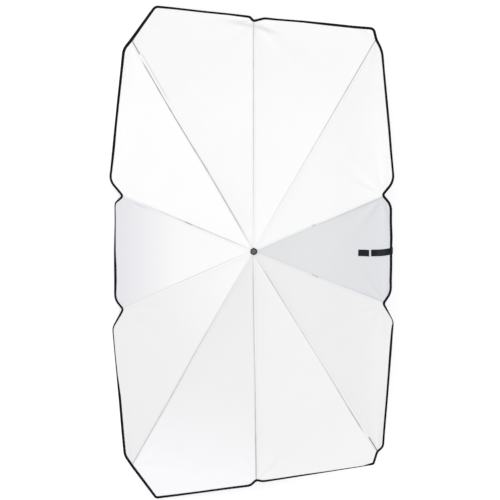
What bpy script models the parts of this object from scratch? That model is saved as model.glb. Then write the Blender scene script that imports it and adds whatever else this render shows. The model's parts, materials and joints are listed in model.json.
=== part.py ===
"""Folding windscreen sunshade, built like an umbrella: ten ribs of unequal length hold a near rectangular
canopy. It lies opened on the floor, on its handle and on the two lower corners of its long rim.

Lengths are in metres. The shade is modelled upright in its own frame (crown at the origin, shaft along -Z,
canopy seen from +Z) and the empty "rest_frame" tips it into the place where it lies.
"""

import bpy
import math
from mathutils import Matrix, Vector

# Canopy outline, seen from outside. Reach is from the shaft's axis to the rim at the rib's tip.
SIDE_REACH = {"right_high": 0.419, "left_high": 0.422, "left_low": 0.425, "right_low": 0.416}
CORNER_REACH = {"corner_right_high": 0.726, "corner_left_high": 0.727,
                "corner_left_low": 0.732, "corner_right_low": 0.699}
END_REACH = {"end_high": 0.685, "end_low": 0.679}
AZIMUTH_DEG = {"right_high": 23.4, "corner_right_high": 59.8, "end_high": 90.0, "corner_left_high": 120.0,
               "left_high": 157.2, "left_low": 203.7, "corner_left_low": 240.2, "end_low": 270.7,
               "corner_right_low": 301.8, "right_low": 338.3}
# Past each rib tip the rim swells to two shoulders. Each is (distance along the chord from its own tip,
# distance outside the chord), first at the tip the gore is named after, then at the next tip.
SHOULDERS = {"right_high": ((0.038, 0.034), (0.034, 0.016)),
             "corner_right_high": ((0.013, 0.033), (0.030, 0.013)),
             "end_high": ((0.007, 0.013), (0.085, 0.086)),
             "corner_left_high": ((0.032, 0.023), (0.043, 0.041)),
             "left_high": ((0.020, 0.021), (0.028, 0.023)),
             "left_low": ((0.052, 0.032), (0.032, 0.019)),
             "corner_left_low": ((0.084, 0.088), (0.014, 0.018)),
             "end_low": ((0.017, 0.008), (0.020, 0.033)),
             "corner_right_low": ((0.015, 0.017), (0.053, 0.030)),
             "right_low": ((0.032, 0.022), (0.028, 0.024))}
SHOULDER_ROUNDING = 0.009
FABRIC_THICK = 0.0010
SEAM_GAP = 0.0004
HUB_HOLE_R = 0.0062

BINDING_WIDTH = 0.0055
BINDING_THICK = 0.0016
# The tape is joined at three rib tips. Each length of it runs round the rims of these gores.
BINDING_LENGTHS = {"edge_binding_left": ("corner_left_high", "left_high", "left_low"),
                   "edge_binding_high": ("right_high", "corner_right_high", "end_high"),
                   "edge_binding_low": ("corner_left_low", "end_low", "corner_right_low", "right_low")}
SEAT_GAP = 0.0003

# Closing strap and its hook patch, on the gore between right_low and right_high.
STRAP_GORE = "right_low"
STRAP_START_X = 0.347
STRAP_LENGTH = 0.067
STRAP_WIDTH = 0.0195
STRAP_THICK = 0.0015
STRAP_Y = -0.002
PATCH_START_X = 0.309
PATCH_LENGTH = 0.0322
PATCH_THICK = 0.0012
STRAP_LIFT = 0.0011

# Shaft, crown and cap
SHAFT_R = 0.0045
SHAFT_BORE_R = 0.0038
SLIDE_CLEAR = 0.0003
CROWN_R = 0.0128
CROWN_TOP_Z = -0.0022
CROWN_HEIGHT = 0.0095
CROWN_PIVOT_DROP = 0.0044
PIVOT_RING_R = 0.0105
SLOT_FLOOR_R = 0.0073
SLOT_WIDTH = 0.0028
WIRE_R = 0.0005
WIRE_GROOVE = 0.0017
CAP_ACROSS_FLATS = 0.0195
CAP_HEIGHT = 0.0060
CAP_WALL_HEIGHT = 0.0027
CAP_BREAK_HEIGHT = 0.0049
CAP_BREAK_IN = 0.0013
CAP_TOP_IN = 0.0028
CAP_ROOF = 0.0020
MOULDED_EDGE = 0.0008

# Ribs. Each section is measured from pivot to pivot.
CHANNEL_WIDTH = 0.0030
CHANNEL_HEIGHT = 0.0030
CHANNEL_WALL = 0.0005
LONG_INNER = 0.235
LONG_MIDDLE = 0.235
SIDE_INNER = 0.200
INNER_SLOPE_DEG = 4.0
MIDDLE_SLOPE_DEG = 8.0
OUTER_SLOPE_DEG = 14.0
SIDE_OUTER_SLOPE_DEG = 10.0
ROD_R = 0.00125
TIP_CAP_R = 0.0015
TIP_CAP_LENGTH = 0.012
TIP_FROM_BINDING = 0.0055
HINGE_CLEAR = 0.0003
LUG_R = 0.0015
LUG_THICK = 0.0010
LUG_GAP = 0.0005
LUG_REACH = 0.0026
LUG_ROOT = 0.0040
FERRULE_LENGTH = 0.0120
RIVET_R = 0.0006
RIVET_HOLE_R = 0.00095
EYE_R = 0.0017
EYE_HOLE_R = 0.0010
EYE_THICK = 0.0020
NECK_LENGTH = 0.0075

# Stretchers and runner
STRETCHER_ON_RIB = 0.110
STRETCHER_LENGTH = 0.130
STRETCHER_HEIGHT = 0.0028
STRETCHER_THICK = 0.0018
STRETCHER_GAP = 0.0005
STRETCHER_END = 0.0040
STRETCHER_END_OVERLAP = 0.0020
STRETCHER_EYE_R = 0.0019
STRETCHER_EYE_HOLE_R = 0.0011
STRETCHER_RIVET_R = 0.0008
RUNNER_R = 0.0130
RUNNER_TOP = 0.0026
RUNNER_RING_HEIGHT = 0.0085
RUNNER_SLOT_WIDTH = 0.0025
RUNNER_SLOT_FLOOR_R = 0.0078
SLEEVE_R = 0.0082
SLEEVE_LENGTH = 0.0215
SLEEVE_LIP_R = 0.0098
SLEEVE_LIP = 0.0030

BUTTON_WIDTH = 0.0050
BUTTON_HEIGHT = 0.0080
BUTTON_HEAD_THICK = 0.0016
BUTTON_TRAVEL = 0.0011
BUTTON_TONGUE_WIDTH = 0.0026
BUTTON_TONGUE_HEIGHT = 0.0050
BUTTON_TONGUE_TIP_R = 0.0062
BUTTON_BELOW_PIVOT = 0.0165

# Handle
CLOSED_INNER_DEG = 88.0
RUNNER_TO_HANDLE = 0.0040
HANDLE_R = 0.0140
HANDLE_WAIST_R = 0.0118
HANDLE_LENGTH = 0.062
HANDLE_COLLAR_R = 0.0100
HANDLE_COLLAR_HEIGHT = 0.0030
HANDLE_SHOULDER_DROP = 0.0080
HANDLE_EDGE = 0.0010
SHAFT_IN_HANDLE = 0.030
END_CAP_R = 0.0132
END_CAP_THICK = 0.0045
END_CAP_EDGE = 0.0012
END_SPIGOT_R = 0.0060
END_SPIGOT_LENGTH = 0.0080

ROUND_STEPS = 36
GRIP_STEPS = 8
WIRE_STEPS = 40
WIRE_SIDES = 6
ROD_STEPS = 8
RIVET_STEPS = 8
LUG_STEPS = 10
SHARP_DEG = 35.0
CUTTER_OVERRUN = 0.0020
STRAP_CELLS = 4

# The lying angle is looked for between these, by halving.
LEAST_TILT_DEG = 5.0
MOST_TILT_DEG = 80.0
TILT_HALVINGS = 60

RIB_ORDER = sorted(AZIMUTH_DEG, key=AZIMUTH_DEG.get)
REACH = {**SIDE_REACH, **CORNER_REACH, **END_REACH}
PIVOT_Z = CROWN_TOP_Z - CROWN_PIVOT_DROP
INNER_SLOPE = math.radians(INNER_SLOPE_DEG)
# The canopy's middle surface runs this far above a hinge pivot, so that the lugs clear the fabric.
FABRIC_LIFT = LUG_R + SEAT_GAP + FABRIC_THICK / 2


def next_rib(name):
    return RIB_ORDER[(RIB_ORDER.index(name) + 1) % len(RIB_ORDER)]


def along(slope, length, lift=0.0):
    """Step in a rib's own plane (reach, height): length down the slope, lift at right angles to it."""
    return Vector((length * math.cos(slope) + lift * math.sin(slope),
                   lift * math.cos(slope) - length * math.sin(slope)))


def rib_sections(name):
    """The sections of a rib, from the crown out: (kind, pivot in the rib's plane, slope, length)."""
    crown_pivot = Vector((PIVOT_RING_R, PIVOT_Z))
    rod_end = REACH[name] - BINDING_WIDTH - TIP_FROM_BINDING
    if name in SIDE_REACH:
        fold = crown_pivot + along(INNER_SLOPE, SIDE_INNER)
        slope = math.radians(SIDE_OUTER_SLOPE_DEG)
        return [("inner", crown_pivot, INNER_SLOPE, SIDE_INNER),
                ("side_outer", fold, slope, (rod_end - fold.x) / math.cos(slope))]
    upper_fold = crown_pivot + along(INNER_SLOPE, LONG_INNER)
    middle = math.radians(MIDDLE_SLOPE_DEG)
    lower_fold = upper_fold + along(middle, LONG_MIDDLE, -(CHANNEL_HEIGHT + 2 * HINGE_CLEAR))
    slope = math.radians(OUTER_SLOPE_DEG)
    return [("inner", crown_pivot, INNER_SLOPE, LONG_INNER),
            ("middle", upper_fold, middle, LONG_MIDDLE),
            ("outer", lower_fold, slope, (rod_end - lower_fold.x) / math.cos(slope))]


def rod_offset(kind):
    """Height of an outer rod's axis over its own pivot."""
    half = HINGE_CLEAR + CHANNEL_HEIGHT / 2
    return half if kind == "outer" else -half


def drop_profile(name):
    """The canopy's middle surface over a rib, as (reach, height) from the shaft out."""
    sections = rib_sections(name)
    points = [Vector((0.0, 0.0))]
    for kind, pivot, _, _ in sections[1:]:
        over_channel = CHANNEL_HEIGHT + 2 * HINGE_CLEAR if kind == "outer" else 0.0
        points.append(pivot + Vector((0.0, over_channel + FABRIC_LIFT)))
    kind, pivot, slope, length = sections[-1]
    tip = pivot + along(slope, length, rod_offset(kind) + TIP_CAP_R)
    points.append(tip + Vector((0.0, SEAT_GAP + FABRIC_THICK / 2)))
    return points


PROFILES = {name: drop_profile(name) for name in RIB_ORDER}


def height_over_rib(name, reach):
    points = PROFILES[name]
    for low, high in zip(points, points[1:]):
        if reach <= high.x:
            break
    return low.y + (high.y - low.y) * (reach - low.x) / (high.x - low.x)


def tip_xy(name):
    angle = math.radians(AZIMUTH_DEG[name])
    return Vector((math.cos(angle), math.sin(angle))) * REACH[name]


def canopy_height(point, gore):
    """The fabric is drawn straight between two ribs, so its height blends theirs at like shares of reach."""
    first, second = tip_xy(gore), tip_xy(next_rib(gore))
    det = first.x * second.y - first.y * second.x
    share_first = (point.x * second.y - point.y * second.x) / det
    share_second = (first.x * point.y - first.y * point.x) / det
    total = share_first + share_second
    return (share_first * height_over_rib(gore, total * REACH[gore])
            + share_second * height_over_rib(next_rib(gore), total * REACH[next_rib(gore)])) / total


def rounded(before, corner, after):
    """Three points in place of a corner."""
    start = corner + (before - corner).normalized() * min(SHOULDER_ROUNDING, (before - corner).length / 3)
    end = corner + (after - corner).normalized() * min(SHOULDER_ROUNDING, (after - corner).length / 3)
    return [start, (start + end + 2 * corner) / 4, end]


def gore_outline(gore):
    """Outer rim of one gore, from its first rib tip up to but without its second."""
    first, second = tip_xy(gore), tip_xy(next_rib(gore))
    chord = (second - first).normalized()
    outward = Vector((chord.y, -chord.x))
    (near, near_out), (far, far_out) = SHOULDERS[gore]
    near_point = first + chord * near + outward * near_out
    far_point = second - chord * far + outward * far_out
    middle = [near_point.lerp(far_point, share) for share in (1 / 3, 2 / 3)]
    return ([first] + rounded(first, near_point, far_point) + middle
            + rounded(near_point, far_point, second))


def inset(points, distance):
    """The closed outline moved inward, with mitred corners."""
    moved = []
    for i, point in enumerate(points):
        before = (point - points[i - 1]).normalized()
        after = (points[(i + 1) % len(points)] - point).normalized()
        left_before = Vector((-before.y, before.x))
        left_after = Vector((-after.y, after.x))
        both = left_before + left_after
        moved.append(point + both * (distance * 2 / both.length_squared))
    return moved


def make_object(name, mesh, material, parent, location=(0, 0, 0), slope=0.0):
    obj = bpy.data.objects.new(name, mesh)
    bpy.context.scene.collection.objects.link(obj)
    if not mesh.materials:
        mesh.materials.append(material)
    obj.parent = parent
    obj.location = location
    obj.rotation_euler = (0.0, slope, 0.0)
    return obj


def mesh_from(name, vertices, faces, smooth=False):
    mesh = bpy.data.meshes.new(name)
    mesh.from_pydata([tuple(v) for v in vertices], [], faces)
    mesh.validate()
    if smooth:
        mesh.shade_smooth()
        mesh.set_sharp_from_angle(angle=math.radians(SHARP_DEG))
    return mesh


def empty(name, parent=None, matrix=None):
    obj = bpy.data.objects.new(name, None)
    bpy.context.scene.collection.objects.link(obj)
    obj.parent = parent
    if matrix is not None:
        obj.matrix_local = matrix
    return obj


def lathe(name, profile, steps=ROUND_STEPS):
    """A ring turned about Z from a closed profile of (radius, height), run counter-clockwise."""
    count = len(profile)
    vertices = []
    for step in range(steps):
        angle = 2 * math.pi * step / steps
        vertices += [(r * math.cos(angle), r * math.sin(angle), z) for r, z in profile]
    faces = []
    for step in range(steps):
        here, there = step * count, (step + 1) % steps * count
        for i in range(count):
            j = (i + 1) % count
            faces.append((here + i, there + i, there + j, here + j))
    return mesh_from(name, vertices, faces, smooth=True)


def solid_lathe(name, profile, steps=ROUND_STEPS):
    """A solid turned about Z: the profile runs from the axis at the bottom to the axis at the top."""
    rim = profile[1:-1]
    count = len(rim)
    vertices = [(0.0, 0.0, profile[0][1])]
    for step in range(steps):
        angle = 2 * math.pi * step / steps
        vertices += [(r * math.cos(angle), r * math.sin(angle), z) for r, z in rim]
    vertices.append((0.0, 0.0, profile[-1][1]))
    top = len(vertices) - 1
    faces = []
    for step in range(steps):
        here, there = 1 + step * count, 1 + (step + 1) % steps * count
        faces.append((0, there, here))
        for i in range(count - 1):
            faces.append((here + i, there + i, there + i + 1, here + i + 1))
        faces.append((here + count - 1, there + count - 1, top))
    return mesh_from(name, vertices, faces, smooth=True)


def plate(name, outline, low, high):
    """A plate between y = low and y = high, from a closed outline of (x, z) run counter-clockwise."""
    count = len(outline)
    vertices = [(x, low, z) for x, z in outline] + [(x, high, z) for x, z in outline]
    faces = [tuple(range(count)), tuple(range(2 * count - 1, count - 1, -1))]
    for i in range(count):
        j = (i + 1) % count
        faces.append((j, i, count + i, count + j))
    return mesh_from(name, vertices, faces)


def bar(name, low, high):
    """A box between two corners."""
    return plate(name, [(low[0], low[2]), (high[0], low[2]), (high[0], high[2]), (low[0], high[2])],
                 low[1], high[1])


def pin(name, centre, radius, low, high, steps=RIVET_STEPS):
    """A round pin along Y."""
    outline = []
    for step in range(steps):
        angle = 2 * math.pi * (step + 0.5) / steps
        outline.append((centre[0] + radius * math.cos(angle), centre[1] + radius * math.sin(angle)))
    return plate(name, outline, low, high)


def rod(name, start, end, radius, height, steps=ROD_STEPS):
    """A round rod along X."""
    ring = []
    for step in range(steps):
        angle = 2 * math.pi * (step + 0.5) / steps
        ring.append((radius * math.cos(angle), radius * math.sin(angle)))
    vertices = [(start, y, height + z) for y, z in ring] + [(end, y, height + z) for y, z in ring]
    faces = [tuple(range(steps - 1, -1, -1)), tuple(range(steps, 2 * steps))]
    for i in range(steps):
        j = (i + 1) % steps
        faces.append((i, j, steps + j, steps + i))
    return mesh_from(name, vertices, faces)


def lug_outline(pivot, radius, bar_x, low, high, root=0.0):
    """A rounded end about pivot; its edges run tangent from it to a bar's end at bar_x, and on into the bar."""
    sign = 1.0 if bar_x > pivot[0] else -1.0
    reach = abs(bar_x - pivot[0])
    to_high, to_low = (reach, high - pivot[1]), (reach, low - pivot[1])
    start = math.atan2(to_high[1], to_high[0]) + math.acos(radius / math.hypot(*to_high))
    end = 2 * math.pi + math.atan2(to_low[1], to_low[0]) - math.acos(radius / math.hypot(*to_low))
    outline = []
    for step in range(LUG_STEPS + 1):
        angle = start + (end - start) * step / LUG_STEPS
        outline.append((pivot[0] + sign * radius * math.cos(angle), pivot[1] + radius * math.sin(angle)))
    outline += [(bar_x, low)]
    if root:
        outline += [(bar_x + sign * root, low), (bar_x + sign * root, high)]
    outline += [(bar_x, high)]
    return outline if sign > 0 else outline[::-1]


def combined(name, body, joined=(), cut=()):
    """The body with other meshes joined to it and then cut from it. The helpers are deleted again."""
    obj = bpy.data.objects.new(name, body)
    bpy.context.scene.collection.objects.link(obj)
    helpers = []
    for operation, meshes in (("UNION", joined), ("DIFFERENCE", cut)):
        for mesh in meshes:
            helper = bpy.data.objects.new(name + "_helper", mesh)
            bpy.context.scene.collection.objects.link(helper)
            helpers.append(helper)
            boolean = obj.modifiers.new(operation.lower(), "BOOLEAN")
            boolean.operation = operation
            boolean.solver = "EXACT"
            boolean.object = helper
    bpy.context.view_layer.update()
    result = bpy.data.meshes.new_from_object(obj.evaluated_get(bpy.context.evaluated_depsgraph_get()))
    result.name = name
    for helper in helpers + [obj]:
        bpy.data.objects.remove(helper)
    result.shade_smooth()
    result.set_sharp_from_angle(angle=math.radians(SHARP_DEG))
    return result


def material(name, color, roughness, metallic=0.0):
    found = bpy.data.materials.new(name)
    found.use_nodes = True
    shader = found.node_tree.nodes["Principled BSDF"]
    shader.inputs["Base Color"].default_value = (*color, 1.0)
    shader.inputs["Roughness"].default_value = roughness
    shader.inputs["Metallic"].default_value = metallic
    found.diffuse_color = (*color, 1.0)
    return found


def channel(name, start, end):
    """A rib channel, open below, its top just under the pivot line."""
    top, low = -HINGE_CLEAR, -HINGE_CLEAR - CHANNEL_HEIGHT
    half, hollow = CHANNEL_WIDTH / 2, CHANNEL_WIDTH / 2 - CHANNEL_WALL
    section = [(-half, low), (-hollow, low), (-hollow, top - CHANNEL_WALL), (hollow, top - CHANNEL_WALL),
               (hollow, low), (half, low), (half, top), (-half, top)]
    count = len(section)
    vertices = [(start, y, z) for y, z in section] + [(end, y, z) for y, z in section]
    faces = [tuple(range(count - 1, -1, -1)), tuple(range(count, 2 * count))]
    for i in range(count):
        j = (i + 1) % count
        faces.append((i, j, count + j, count + i))
    return mesh_from(name, vertices, faces)


def lug(name, pivot, channel_x, side):
    """A hinge lug on one side of the rib's middle plane, rooted in the end of the channel."""
    low, high = -HINGE_CLEAR - CHANNEL_HEIGHT, -HINGE_CLEAR
    outline = lug_outline(pivot, LUG_R, channel_x, low, high, LUG_ROOT)
    inner, outer = LUG_GAP / 2, LUG_GAP / 2 + LUG_THICK
    return plate(name, outline, inner if side > 0 else -outer, outer if side > 0 else -inner)


def rivet(name, pivot):
    """The rivet of a lap hinge: it belongs to the lug on +Y and passes through the other one."""
    start = LUG_GAP / 2 + LUG_THICK / 2
    return pin(name, pivot, RIVET_R, -LUG_GAP / 2 - LUG_THICK - RIVET_R / 2, start)


def rivet_hole(name, pivot):
    return pin(name, pivot, RIVET_HOLE_R, -CHANNEL_WIDTH, -LUG_GAP / 4)


def inner_section(name, length):
    low, high = -HINGE_CLEAR - CHANNEL_HEIGHT, -HINGE_CLEAR
    neck = plate(name, lug_outline((0.0, 0.0), EYE_R, NECK_LENGTH, low, high, LUG_ROOT),
                 -EYE_THICK / 2, EYE_THICK / 2)
    body = channel(name, NECK_LENGTH, length - LUG_REACH)
    end = (length, 0.0)
    far_lug = lug(name, end, length - LUG_REACH, 1)
    return combined(name, body, [neck, far_lug, rivet(name, end)],
                    [pin(name, (0.0, 0.0), EYE_HOLE_R, -EYE_THICK, EYE_THICK)])


def middle_section(name, length):
    body = channel(name, LUG_REACH, length - LUG_REACH)
    start, end = (0.0, 0.0), (length, -CHANNEL_HEIGHT - 2 * HINGE_CLEAR)
    near_lug = lug(name, start, LUG_REACH, -1)
    far_lug = lug(name, end, length - LUG_REACH, 1)
    return combined(name, body, [near_lug, far_lug, rivet(name, end)], [rivet_hole(name, start)])


def outer_section(name, kind, length):
    """A round rod in a flat hinge end, with the cap that sits in the fabric's tip pocket."""
    height = rod_offset(kind)
    low, high = height - CHANNEL_HEIGHT / 2, height + CHANNEL_HEIGHT / 2
    ferrule_end = LUG_REACH + FERRULE_LENGTH
    ferrule = bar(name, (LUG_REACH, -CHANNEL_WIDTH / 2, low), (ferrule_end, CHANNEL_WIDTH / 2, high))
    outline = lug_outline((0.0, 0.0), LUG_R, LUG_REACH, low, high, LUG_ROOT)
    near_lug = plate(name, outline, -LUG_GAP / 2 - LUG_THICK, -LUG_GAP / 2)
    shank = rod(name, ferrule_end - LUG_ROOT, length - TIP_CAP_LENGTH / 2, ROD_R, height)
    cap = rod(name, length - TIP_CAP_LENGTH, length, TIP_CAP_R, height)
    return combined(name, ferrule, [near_lug, shank, cap], [rivet_hole(name, (0.0, 0.0))])


def stretcher_geometry():
    """Runner pivot height and the stretcher's slope when open, and the runner's travel to closed."""
    on_rib = -HINGE_CLEAR - CHANNEL_HEIGHT / 2
    opened = Vector((PIVOT_RING_R, PIVOT_Z)) + along(INNER_SLOPE, STRETCHER_ON_RIB, on_rib)
    rise = math.sqrt(STRETCHER_LENGTH ** 2 - (opened.x - PIVOT_RING_R) ** 2)
    folded = Vector((PIVOT_RING_R, PIVOT_Z)) + along(math.radians(CLOSED_INNER_DEG), STRETCHER_ON_RIB, on_rib)
    folded_rise = math.sqrt(STRETCHER_LENGTH ** 2 - (folded.x - PIVOT_RING_R) ** 2)
    open_z = opened.y - rise
    slope = -math.atan2(rise, opened.x - PIVOT_RING_R)
    return open_z, slope, open_z - (folded.y - folded_rise)


RUNNER_Z, STRETCHER_SLOPE, RUNNER_TRAVEL = stretcher_geometry()
STRETCHER_SIDE = CHANNEL_WIDTH / 2 + STRETCHER_GAP + STRETCHER_THICK / 2
HANDLE_TOP_Z = RUNNER_Z - RUNNER_TRAVEL + RUNNER_TOP - RUNNER_RING_HEIGHT - SLEEVE_LENGTH - RUNNER_TO_HANDLE
HANDLE_END_Z = HANDLE_TOP_Z - HANDLE_LENGTH
END_FACE_Z = HANDLE_END_Z - SEAT_GAP - END_CAP_THICK


def stretcher_mesh(name):
    half = STRETCHER_THICK / 2
    low, high = -STRETCHER_HEIGHT / 2, STRETCHER_HEIGHT / 2
    far_end = STRETCHER_LENGTH - STRETCHER_END
    body = bar(name, (STRETCHER_END, -half, low), (far_end, half, high))
    near = lug_outline((0.0, 0.0), STRETCHER_EYE_R, STRETCHER_END, low, high, STRETCHER_END_OVERLAP)
    end = (STRETCHER_LENGTH, 0.0)
    far = lug_outline(end, STRETCHER_HEIGHT / 2, far_end, low, high, STRETCHER_END_OVERLAP)
    stub = pin(name, end, STRETCHER_RIVET_R, -half - STRETCHER_GAP + SEAT_GAP / 2, 0.0)
    return combined(name, body, [plate(name, near, -half, half), plate(name, far, -half, half), stub],
                    [pin(name, (0.0, 0.0), STRETCHER_EYE_HOLE_R, -STRETCHER_THICK, STRETCHER_THICK)])


def turned(mesh, angle, side=0.0):
    """A copy of a mesh turned about Z after a shift along Y."""
    copy = mesh.copy()
    copy.transform(Matrix.Rotation(angle, 4, "Z") @ Matrix.Translation((0.0, side, 0.0)))
    return copy


def ring_groove(name, radius, width, low, high):
    return lathe(name, [(radius - width / 2, low), (radius + width / 2, low),
                        (radius + width / 2, high), (radius - width / 2, high)])


def slots(width, floor_r, outer_r, low, high, side=0.0):
    cutter = bar("slot", (floor_r, -width / 2, low), (outer_r, width / 2, high))
    return [turned(cutter, math.radians(AZIMUTH_DEG[name]), side) for name in RIB_ORDER]


def crown_mesh():
    low, high = CROWN_TOP_Z - CROWN_HEIGHT, CROWN_TOP_Z
    bore, edge = SHAFT_R + SLIDE_CLEAR, MOULDED_EDGE
    body = lathe("crown", [(bore, low), (CROWN_R - edge, low), (CROWN_R, low + edge),
                           (CROWN_R, high - edge), (CROWN_R - edge, high), (bore, high)])
    groove = ring_groove("groove", PIVOT_RING_R, WIRE_GROOVE, PIVOT_Z - WIRE_R - SEAT_GAP, high + edge)
    notches = slots(SLOT_WIDTH, SLOT_FLOOR_R, CROWN_R + edge, low - edge, high + edge)
    return combined("crown", body, cut=notches + [groove])


def runner_mesh():
    """The notched ring with its sleeve below, modelled about the height of the stretchers' pivots."""
    bore, edge = SHAFT_R + SLIDE_CLEAR, MOULDED_EDGE
    top, low = RUNNER_TOP, RUNNER_TOP - RUNNER_RING_HEIGHT
    foot = low - SLEEVE_LENGTH
    body = lathe("runner", [(bore, foot), (SLEEVE_LIP_R - edge, foot), (SLEEVE_LIP_R, foot + edge),
                            (SLEEVE_LIP_R, foot + SLEEVE_LIP), (SLEEVE_R, foot + SLEEVE_LIP + edge),
                            (SLEEVE_R, low - edge), (RUNNER_R, low), (RUNNER_R, top - edge),
                            (RUNNER_R - edge, top), (bore, top)])
    wire_r = math.hypot(PIVOT_RING_R, STRETCHER_SIDE)
    groove = ring_groove("groove", wire_r, WIRE_GROOVE, -WIRE_R - SEAT_GAP, top + edge)
    notches = slots(RUNNER_SLOT_WIDTH, RUNNER_SLOT_FLOOR_R, RUNNER_R + 2 * edge,
                    -STRETCHER_EYE_R - SEAT_GAP, top + edge, STRETCHER_SIDE)
    half, tall = BUTTON_TONGUE_WIDTH / 2 + SEAT_GAP, BUTTON_TONGUE_HEIGHT / 2 + SEAT_GAP
    window = bar("window", (bore - 2 * edge, -half, -BUTTON_BELOW_PIVOT - tall),
                 (SLEEVE_R + 2 * edge, half, -BUTTON_BELOW_PIVOT + tall))
    return combined("runner", body, cut=notches + [groove, window])


def wire_mesh(name, radius):
    """A closed ring of round wire about Z."""
    vertices, faces = [], []
    for step in range(WIRE_STEPS):
        angle = 2 * math.pi * step / WIRE_STEPS
        for side in range(WIRE_SIDES):
            turn = 2 * math.pi * side / WIRE_SIDES
            r = radius + WIRE_R * math.cos(turn)
            vertices.append((r * math.cos(angle), r * math.sin(angle), WIRE_R * math.sin(turn)))
    for step in range(WIRE_STEPS):
        here, there = step * WIRE_SIDES, (step + 1) % WIRE_STEPS * WIRE_SIDES
        for i in range(WIRE_SIDES):
            j = (i + 1) % WIRE_SIDES
            faces.append((here + i, there + i, there + j, here + j))
    return mesh_from(name, vertices, faces, smooth=True)


def button_mesh():
    """Head outside the sleeve and tongue through its window; X points outward from the shaft."""
    seat = SLEEVE_R + BUTTON_TRAVEL + SEAT_GAP
    head = bar("catch_button", (seat, -BUTTON_WIDTH / 2, -BUTTON_HEIGHT / 2),
               (seat + BUTTON_HEAD_THICK, BUTTON_WIDTH / 2, BUTTON_HEIGHT / 2))
    tongue = bar("tongue", (BUTTON_TONGUE_TIP_R, -BUTTON_TONGUE_WIDTH / 2, -BUTTON_TONGUE_HEIGHT / 2),
                 (seat + BUTTON_HEAD_THICK / 2, BUTTON_TONGUE_WIDTH / 2, BUTTON_TONGUE_HEIGHT / 2))
    return combined("catch_button", head, [tongue])


def cap_mesh():
    """Hexagonal cap with a broad bevel and a blind bore for the shaft's top; points face up and down."""
    base = FABRIC_THICK / 2 + SEAT_GAP
    corner = CAP_ACROSS_FLATS / math.sqrt(3)
    rows = [(corner, base), (corner, base + CAP_WALL_HEIGHT),
            (corner - CAP_BREAK_IN, base + CAP_BREAK_HEIGHT), (corner - CAP_TOP_IN, base + CAP_HEIGHT)]
    vertices, faces = [], []
    for r, z in rows:
        for side in range(6):
            angle = math.pi / 2 + math.pi * side / 3
            vertices.append((r * math.cos(angle), r * math.sin(angle), z))
    for row in range(len(rows) - 1):
        for i in range(6):
            j = (i + 1) % 6
            faces.append((row * 6 + i, row * 6 + j, row * 6 + 6 + j, row * 6 + 6 + i))
    faces.append((5, 4, 3, 2, 1, 0))
    top = 6 * (len(rows) - 1)
    faces.append(tuple(range(top, top + 6)))
    bore = solid_lathe("bore", [(0.0, base - CAP_ROOF), (SHAFT_R + SLIDE_CLEAR, base - CAP_ROOF),
                                (SHAFT_R + SLIDE_CLEAR, base + CAP_HEIGHT - CAP_ROOF),
                                (0.0, base + CAP_HEIGHT - CAP_ROOF)])
    return combined("top_cap", mesh_from("top_cap", vertices, faces), cut=[bore])


def shaft_mesh():
    top = FABRIC_THICK / 2 + CAP_HEIGHT - CAP_ROOF
    foot = HANDLE_TOP_Z - SHAFT_IN_HANDLE
    return lathe("shaft_tube", [(SHAFT_BORE_R, foot), (SHAFT_R, foot), (SHAFT_R, top), (SHAFT_BORE_R, top)])


def handle_mesh():
    """Waisted grip with a socket for the shaft above and a smaller one for the end cap below."""
    top, foot = HANDLE_TOP_Z, HANDLE_END_Z
    shoulder = top - HANDLE_SHOULDER_DROP
    waist_foot = foot + HANDLE_EDGE
    grip = [(0.0, foot), (HANDLE_R - HANDLE_EDGE, foot), (HANDLE_R, waist_foot)]
    for step in range(1, GRIP_STEPS):
        share = step / GRIP_STEPS
        waist = (HANDLE_R - HANDLE_WAIST_R) * math.sin(math.pi * share)
        grip.append((HANDLE_R - waist, waist_foot + (shoulder - waist_foot) * share))
    grip += [(HANDLE_R, shoulder), (HANDLE_COLLAR_R, top - HANDLE_COLLAR_HEIGHT), (HANDLE_COLLAR_R, top),
             (0.0, top)]
    socket_r = SHAFT_R + SLIDE_CLEAR
    socket_z = top - SHAFT_IN_HANDLE - SEAT_GAP
    socket = solid_lathe("socket", [(0.0, socket_z), (socket_r, socket_z), (socket_r, top + CUTTER_OVERRUN),
                                    (0.0, top + CUTTER_OVERRUN)])
    pit_r, pit_z = END_SPIGOT_R + SEAT_GAP, foot + END_SPIGOT_LENGTH + SEAT_GAP
    pit = solid_lathe("pit", [(0.0, foot - CUTTER_OVERRUN), (pit_r, foot - CUTTER_OVERRUN), (pit_r, pit_z),
                              (0.0, pit_z)])
    return combined("handle", solid_lathe("handle", grip), cut=[socket, pit])


def end_cap_mesh():
    """The handle's end: a round plate with a spigot that plugs into the pit of the grip."""
    rim_z, face_z = HANDLE_END_Z - SEAT_GAP, END_FACE_Z
    spigot_z = HANDLE_END_Z + END_SPIGOT_LENGTH
    return solid_lathe("handle_end_cap", [(0.0, face_z), (END_CAP_R - END_CAP_EDGE, face_z),
                                          (END_CAP_R, face_z + END_CAP_EDGE), (END_CAP_R, rim_z),
                                          (END_SPIGOT_R, rim_z), (END_SPIGOT_R, spigot_z), (0.0, spigot_z)])


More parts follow.
